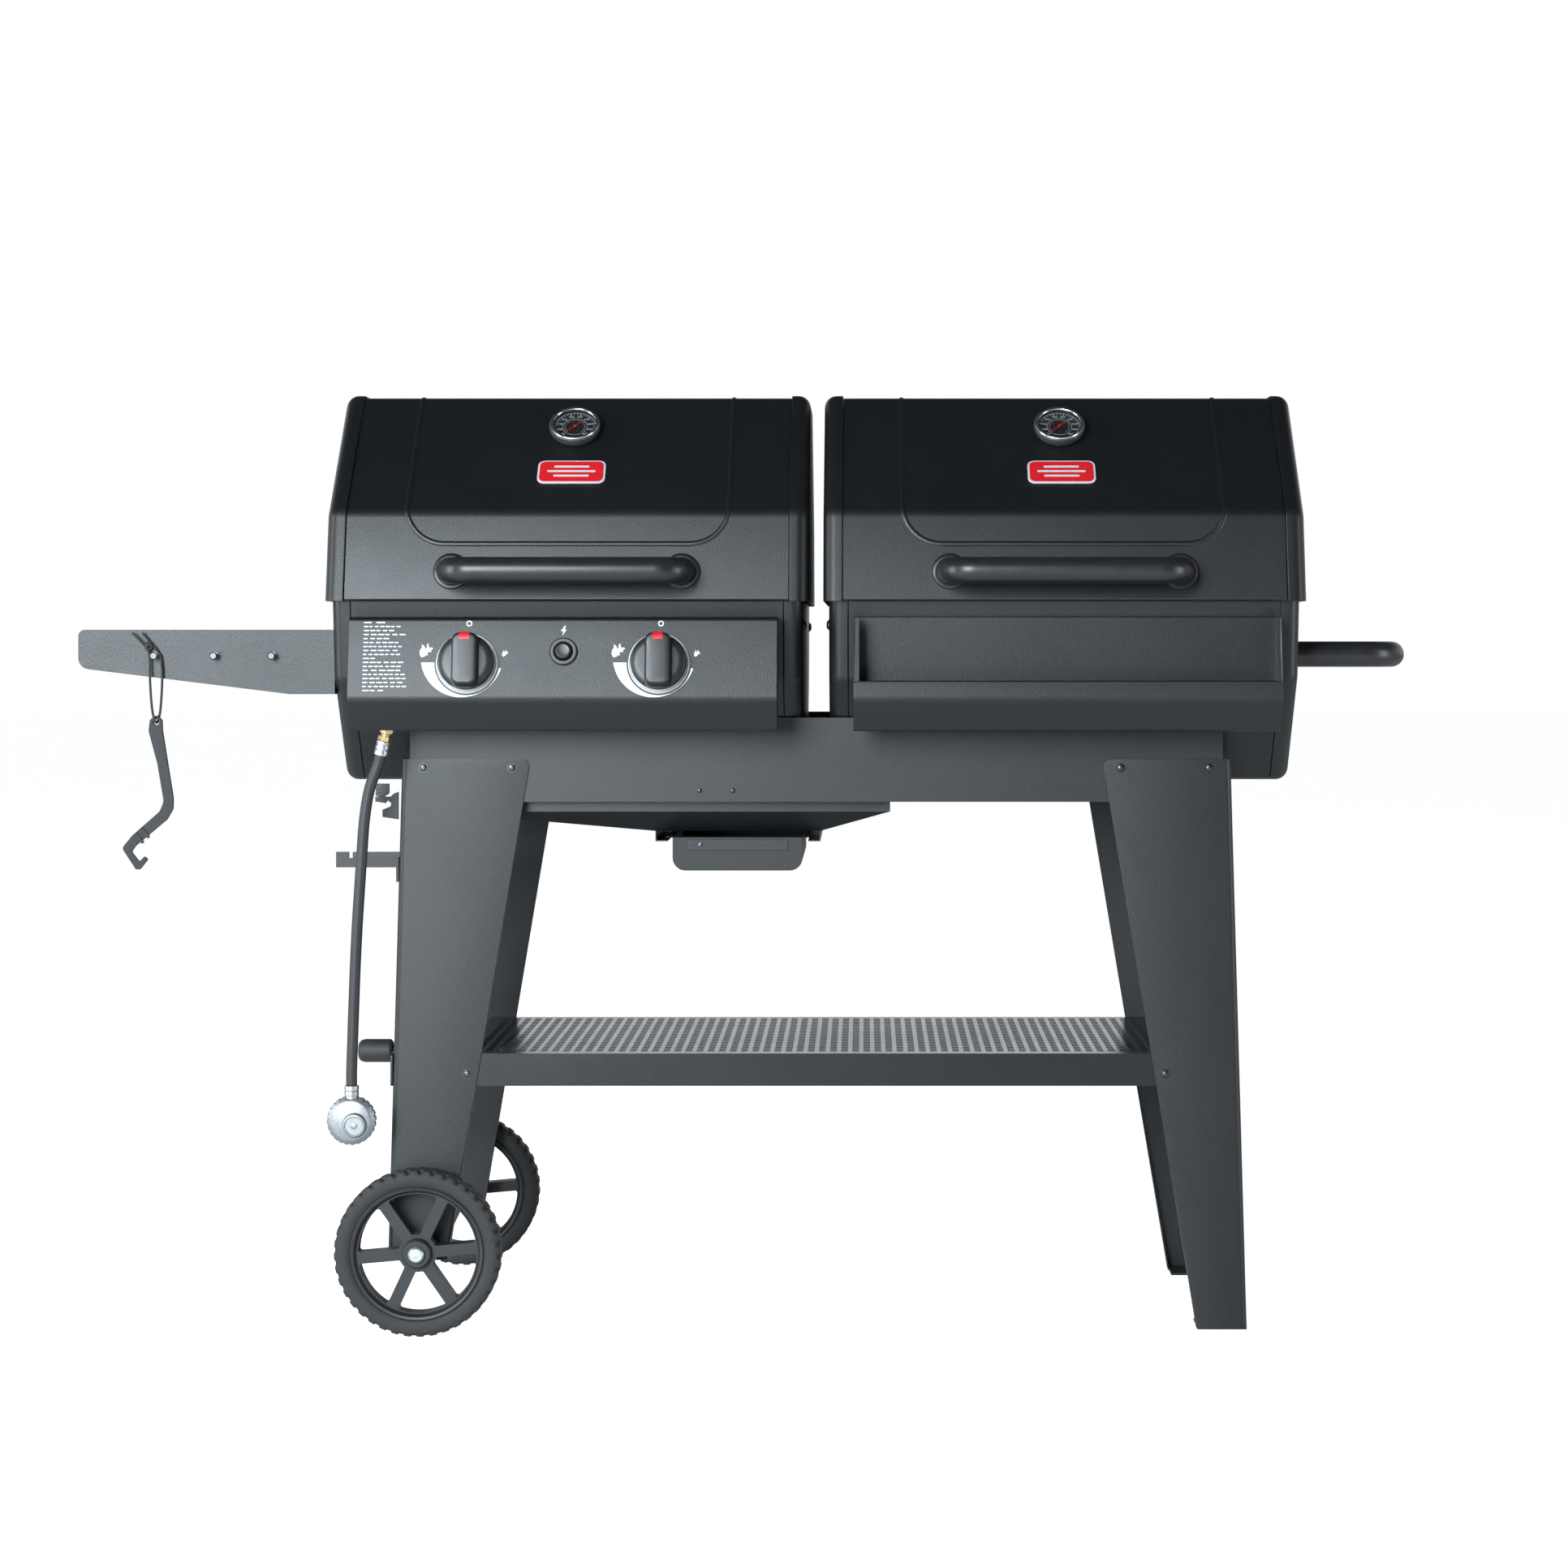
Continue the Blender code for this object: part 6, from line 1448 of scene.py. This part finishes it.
def make_gas_line():
    """Brass fitting, hose with its ferrules, regulator and coupling nut."""
    inlet = cart(-519, -270, 748.3)
    hose_top = cart(-529, -266, 709)
    run = hose_top - inlet
    seat = Facing(inlet, run.cross(Vector((0, 1, 0))).normalized(), run.normalized())
    length = run.length
    bm = bmesh.new()
    hexagon = [p for p in circle(9.6 * MM, 6)]
    press(bm, hexagon, seat, 1.5 * MM, 11 * MM)
    turn(bm, [(6.6 * MM, 0.4 * MM), (6.6 * MM, 1.6 * MM)], seat, 32)
    turn(bm, [(7.4 * MM, 11 * MM), (7.4 * MM, 13 * MM), (5.6 * MM, 14 * MM), (5.6 * MM, 22 * MM)], seat, 32)
    press(bm, [p for p in circle(8.2 * MM, 6, 0.3)], seat, 16 * MM, 22 * MM)
    fitting = place(shape("hose_brass_fitting", bm), brass, "cart", "brass", ["hose_fitting"], bevel=0.4 * MM)
    bm = bmesh.new()
    profile = [
        (7.2 * MM, 22 * MM), (8.4 * MM, 22.6 * MM), (8.4 * MM, 27 * MM), (8.0 * MM, 27.8 * MM),
        (8.4 * MM, 28.6 * MM), (8.4 * MM, 33 * MM), (8.0 * MM, 33.8 * MM), (8.4 * MM, 34.6 * MM),
        (8.4 * MM, length - 1 * MM), (7.6 * MM, length - 0.2 * MM),
    ]
    turn(bm, profile, seat, 40)
    ferrule = place(shape("hose_upper_ferrule", bm), steel, "cart", "bright_steel", bevel=0.2 * MM)

    hose = [
        (-532, -265, 698), (-543, -264, 667), (-549, -264, 630), (-552, -264, 590),
        (-555, -264, 545), (-558, -263, 500), (-560.5, -262, 450), (-562.5, -261, 400), (-564, -261, 355),
        (-565, -261, 325), (-565, -261, 308),
    ]
    path = smooth_path([hose_top] + [cart(*spot) for spot in hose], 5 * MM)
    bm = bmesh.new()
    sweep(bm, path, 6.75 * MM, 28)
    tube = place(shape("gas_hose_run", bm), hose_cover, "cart", "hose_rubber", ["gas_hose"])

    low, high = corners("regulator")
    centre = Vector(((low.x + high.x) / 2, (low.y + high.y) / 2, low.z + (high.x - low.x) / 2))
    face = Facing(centre, (0, 0, 1), (0, -1, 0))
    half = (high.y - low.y) / 2
    bm = bmesh.new()
    sides = 144
    rings = []
    profile = [
        (18, -half / MM, 0), (24, -half / MM + 4, 0), (28.4, -6, 0), (29.9, -5, 1.1), (29.9, 5, 1.1),
        (28.4, 6, 0), (25, half / MM - 7.5, 0), (23, half / MM - 6.6, 0),
    ]
    for radius, height, scallop in profile:
        ring = []
        for index, p in enumerate(circle(1, sides)):
            reach = (radius - (scallop if index % 6 >= 4 else 0)) * MM
            ring.append(face.at(p.x * reach, p.y * reach, height * MM))
        rings.append(ring)
    loft(bm, rings)
    body = place(
        shape("regulator_housing", bm), die_cast, "cart", "zinc_casting", ["regulator"], bevel=0.3 * MM,
    )
    bm = bmesh.new()
    boss = face.moved(5 * MM, -5 * MM)
    profile = [
        (15.5 * MM, half - 8 * MM), (14.5 * MM, half - 3 * MM), (13.6 * MM, half - 0.6 * MM),
        (11.5 * MM, half), (10.8 * MM, half - 1.4 * MM),
    ]
    turn(bm, profile, boss, 48)
    turn(bm, [(4 * MM, half - 2 * MM), (4 * MM, half - 0.6 * MM), (2.6 * MM, half - 0.2 * MM)], boss, 24)
    boss_piece = place(shape("regulator_cap", bm), die_cast, "cart", "zinc_casting", bevel=0.4 * MM)
    bm = bmesh.new()
    stub = Facing(centre + Vector((0, 0, 26 * MM)), (0, -1, 0), (0, 0, 1))
    top = high.z - stub.origin.z
    profile = [
        (8 * MM, 0), (8 * MM, top - 13 * MM), (8.8 * MM, top - 12.4 * MM), (8.8 * MM, top - 8 * MM),
        (8.2 * MM, top - 7 * MM), (8.8 * MM, top - 6 * MM), (8.8 * MM, top - 1 * MM),
        (8 * MM, top - 0.2 * MM),
    ]
    turn(bm, profile, stub, 40)
    stub_piece = place(shape("hose_lower_ferrule", bm), steel, "cart", "bright_steel", bevel=0.2 * MM)

    nut_low, nut_high = corners("coupling_nut")
    nut = Facing(
        Vector(((nut_low.x + nut_high.x) / 2, nut_low.y, (nut_low.z + nut_high.z) / 2)), (0, 0, 1),
        (0, 1, 0),
    )
    reach = nut_high.y - nut_low.y
    bm = bmesh.new()
    rings = []
    profile = [
        (9.5, 0.4, 0), (9.5, 6, 0), (17.6, 8, 0), (18.8, 10, 1.2), (18.8, reach / MM - 5, 1.2),
        (17.4, reach / MM - 1, 0.6), (14, reach / MM - 0.2, 0), (11, reach / MM - 0.2, 0),
        (11, reach / MM - 9, 0),
    ]
    for radius, height, groove in profile:
        ring = []
        for index, p in enumerate(circle(1, 96)):
            size = (radius - (groove if index % 8 >= 5 else 0)) * MM
            ring.append(nut.at(p.x * size, p.y * size, height * MM))
        rings.append(ring)
    loft(bm, rings)
    nut_piece = place(
        shape("coupling_nut_grip", bm), knob_black, "coupling_nut", "knob_plastic", ["coupling_nut"],
        bevel=0.3 * MM,
    )
    total = sum((b - a).length for a, b in zip(path, path[1:]))


# ---------------------------------------------------------------- grease parts and the inside
def make_drip_pan():
    """Sheet pan under the funnel, with a grip and its rivet."""
    low, high = corners("drip_pan")
    rim = high.z
    left, right = low.x + 9 * MM, high.x - 9 * MM
    points = [(left, rim), (left, rim - 41 * MM), (right, rim - 41 * MM), (right, rim)]
    section = fillet(points, [0, 16 * MM, 16 * MM, 0], 10)
    bm = bmesh.new()
    front, back = loft(
        bm, [[Vector((p.x, y, p.y)) for p in section] for y in (low.y, high.y)], False, (True, True),
    )
    for near, far, lean in ((front[0], back[0], -1), (front[-1], back[-1], 1)):
        step = Vector((lean * 9 * MM, 0, 0))
        bm.faces.new((near, far, bm.verts.new(far.co + step), bm.verts.new(near.co + step)))
    pan = shape("drip_pan_sheet", bm)
    wall(pan)
    place(pan, powder_pan, "drip_pan", "black_powder_coat", ["drip_pan"], bevel=0.5 * MM)
    bm = bmesh.new()
    middle = (left + right) / 2
    grip = Facing(Vector((middle, low.y, rim - 9 * MM)), (0, 0, 1), (0, -1, 0))
    press(bm, plate(126 * MM, 13 * MM, 1.5 * MM), grip, 0.1 * MM, 1.5 * MM)
    place(shape("drip_pan_grip", bm), powder_cart, "drip_pan", "black_powder_coat", bevel=0.4 * MM)
    bm = bmesh.new()
    turn(bm, [(2.6 * MM, 1.4 * MM), (2.6 * MM, 1.9 * MM), (1.5 * MM, 2.2 * MM)], grip.moved(-46 * MM, 0), 24)
    place(shape("drip_pan_grip_rivet", bm), screw_black, "drip_pan", "galvanised_steel")


def make_grate(name, bars, bar_width, finish, slot):
    """Grate of rounded cast bars in a frame, at the frame node's own place."""
    low, high = corners(name)
    thick = high.z - low.z
    bm = bmesh.new()
    seat = Facing(Vector((0, 0, low.z)), (0, 1, 0), (0, 0, 1))
    inner = 9 * MM
    pitch = (high.x - low.x - inner) / bars
    for index in range(bars + 1):
        x = low.x + inner / 2 + index * pitch
        wide = inner if index in (0, bars) else bar_width
        outline = plate(wide, high.y - low.y, wide * 0.2, (x, (low.y + high.y) / 2), 2)
        press(bm, outline, seat, 0, thick)
    for y in (low.y + inner / 2, (low.y + high.y) / 2, high.y - inner / 2):
        outline = plate(high.x - low.x - inner, inner, 0, ((low.x + high.x) / 2, y), 2)
        press(bm, outline, seat, 0.4 * MM, thick - 1.6 * MM)
    place(shape(name + "_bars", bm), finish, "cart", slot, [name], bevel=1.2 * MM)


def make_warming_rack(label):
    """Wire rack: a bent border wire, thin cross wires and four legs."""
    name = label + "_warming_rack"
    low, high = corners(name)
    wire = 2.4 * MM
    top = high.z - wire
    bm = bmesh.new()
    border = plate(
        high.x - low.x - 2 * wire, high.y - low.y - 2 * wire, 14 * MM,
        ((low.x + high.x) / 2, (low.y + high.y) / 2), 8,
    )
    sweep(bm, [Vector((p.x, p.y, top)) for p in border], wire, 12, cyclic=True)
    count = 30
    for index in range(1, count):
        x = low.x + (high.x - low.x) * index / count
        sweep(bm, [Vector((x, low.y + wire, top)), Vector((x, high.y - wire, top))], 1.5 * MM, 8)
    for x in (low.x + wire, high.x - wire):
        for y in (low.y + wire + 14 * MM, high.y - wire - 14 * MM):
            sweep(bm, [Vector((x, y, top)), Vector((x, y, low.z + 0.2 * MM))], wire, 12)
    place(shape(name + "_wires", bm), steel, "cart", "bright_steel", [name])


def damper_facing():
    """Middle of the air damper's inner face, looking out of the barrel's end."""
    return Facing(Vector((corners("air_damper")[0].x, CART.y, DAMPER_HEIGHT)), (0, 0, 1), (1, 0, 0))


def damper_holes(reach):
    """Three round holes about the damper's middle, as a cutter."""
    seat = damper_facing()
    bm = bmesh.new()
    for index in range(3):
        angle = math.radians(90 + 120 * index)
        hole = seat.moved(24 * MM * math.cos(angle), 24 * MM * math.sin(angle))
        turn(bm, [(11 * MM, -reach), (11 * MM, reach)], hole, 40)
    return bm


def make_air_damper():
    """Round draught plate with three holes and a tab."""
    seat = damper_facing()
    bm = bmesh.new()
    turn(bm, [(42 * MM, 0), (42 * MM, SHEET)], seat, 96)
    disc = shape("air_damper_disc", bm)
    carve(disc, damper_holes(6 * MM))
    place(disc, powder_cart, "air_damper", "black_powder_coat", ["air_damper"], bevel=0.4 * MM)
    bm = bmesh.new()
    tab = plate(14 * MM, 11 * MM, 4 * MM, (0, 6 * MM))
    shelf_up = Facing(seat.at(0, 37 * MM), (1, 0, 0), (0, 0, 1))
    press(bm, tab, shelf_up, -1 * MM, 1 * MM)
    turn(bm, [(7 * MM, SHEET), (7 * MM, 2.6 * MM), (4 * MM, 4.2 * MM)], seat, 32)
    place(shape("air_damper_tab", bm), steel, "air_damper", "bright_steel", bevel=0.4 * MM)


def make_inside():
    """Grates and racks, and the finish of the plain pieces inside the barrels."""
    for label in ("gas", "charcoal"):
        make_grate(label + "_cooking_grate", 26, 8 * MM, iron, "cast_iron")
        make_warming_rack(label)
        refinish(steel, label + "_hinge")
    make_grate("fire_grate", 18, 10 * MM, iron, "cast_iron")
    refinish(iron, "flame_tamer")
    refinish(steel, "burner", "valve_stem_left", "valve_stem_right")
    refinish(zinc, "gas_manifold")
    refinish(powder, "grease_tray")


# ---------------------------------------------------------------- studio
def add_light(name, place_at, aim, size, power, tint=(1, 1, 1)):
    """A soft rectangular light that looks at a point."""
    light = bpy.data.lights.new(name, "AREA")
    light.shape = "RECTANGLE"
    light.size, light.size_y = size
    light.energy = power
    light.color = tint
    item = bpy.data.objects.new(name, light)
    bpy.context.collection.objects.link(item)
    item.location = place_at
    item.rotation_euler = (Vector(aim) - Vector(place_at)).to_track_quat("-Z", "Y").to_euler()


def make_room():
    """A white backdrop to the camera; in reflections bright low behind the grill and dim elsewhere."""
    world = bpy.data.worlds.new("studio_world")
    bpy.context.scene.world = world
    world.use_nodes = True
    nodes, links = world.node_tree.nodes, world.node_tree.links

    def add(kind, first=None, second=None, operation=None):
        node = nodes.new("ShaderNode" + kind)
        if operation:
            node.operation = operation
        for index, value in enumerate((first, second)):
            if isinstance(value, bpy.types.NodeSocket):
                links.new(value, node.inputs[index])
            elif value is not None:
                node.inputs[index].default_value = value
        return node

    def eased(value, low, high):
        node = nodes.new("ShaderNodeMapRange")
        node.interpolation_type = "SMOOTHSTEP"
        links.new(value, node.inputs["Value"])
        node.inputs["From Min"].default_value = low
        node.inputs["From Max"].default_value = high
        return node.outputs[0]

    axes = add("SeparateXYZ", add("TexCoord").outputs["Generated"])
    behind = eased(axes.outputs["Y"], -0.15, 0.45)
    low_down = eased(axes.outputs["Z"], 0.62, 0.18)
    leftwards = eased(axes.outputs["X"], 0.3, -0.9)
    glow = add("Math", behind, low_down, "MULTIPLY").outputs[0]
    side = add("Math", leftwards, low_down, "MULTIPLY").outputs[0]
    side = add("Math", side, 0.22, "MULTIPLY").outputs[0]
    glow = add("Math", glow, side, "ADD").outputs[0]
    glow = add("Math", glow, 0.05, "ADD").outputs[0]
    room = add("Background", (0.93, 0.96, 1.0, 1), glow)
    backdrop = nodes["Background"]
    backdrop.inputs["Color"].default_value = (1, 1, 1, 1)
    seen = add("LightPath").outputs["Is Camera Ray"]
    chooser = add("MixShader", seen)
    links.new(room.outputs[0], chooser.inputs[1])
    links.new(backdrop.outputs[0], chooser.inputs[2])
    links.new(chooser.outputs[0], nodes["World Output"].inputs["Surface"])


def make_studio():
    """Camera, pale floor, backdrop and lights."""
    camera = bpy.data.cameras.new("camera")
    camera.lens = 78.26
    camera.sensor_width = 36.0
    camera.shift_x = -0.0512
    camera.shift_y = -0.0859
    camera.clip_end = 100
    item = bpy.data.objects.new("camera", camera)
    bpy.context.collection.objects.link(item)
    item.location = cart(59, -4410, 838)
    item.rotation_euler = (math.radians(90), 0, 0)
    bpy.context.scene.camera = item

    bm = bmesh.new()
    loft(
        bm,
        [
            [Vector((p.x, p.y, -0.02)) for p in circle(40, 96)],
            [Vector((p.x, p.y, 0)) for p in circle(40, 96)],
        ],
    )
    floor = shape("studio_floor", bm)
    pale = Finish("studio_floor_pale")
    soft = pale.noise(0.6, 2.0)
    pale.colour(pale.blend(soft, (0.78, 0.78, 0.785), (0.82, 0.82, 0.82)))
    pale.roughness(soft * 0.1 + 0.7)
    seen = pale.node("LightPath")
    pale.shader.inputs["Emission Strength"].default_value = 1.0
    glow = pale.blend(seen, (0.16, 0.165, 0.17), (0.84, 0.84, 0.84))
    pale.tree.links.new(glow.socket, pale.shader.inputs["Emission Color"])
    floor.data.materials.append(pale.material)

    make_room()
    add_light("softbox_front_left", (-1.75, -4.8, 1.95), (-0.25, 0, 0.85), (2.1, 2.6), 420, (0.84, 0.94, 1.0))
    add_light("strip_left", (-3.4, -1.2, 1.2), (-0.4, 0, 0.7), (0.9, 2.4), 70, (0.9, 0.96, 1.0))
    add_light("strip_right", (3.4, -1.4, 1.0), (0.4, 0, 0.7), (0.7, 2.2), 45, (0.9, 0.96, 1.0))
    bpy.context.scene.view_settings.view_transform = "Standard"


make_studio()
make_gas_line()
make_lifter()
for barrel in ("gas", "charcoal"):
    make_tub(barrel)
    make_lid(barrel)
make_control_panel()
make_front_tray()
make_cart()
make_tank_rest()
make_hose_clip()
make_side_shelf()
make_side_handle()
make_drip_pan()
make_air_damper()
make_inside()
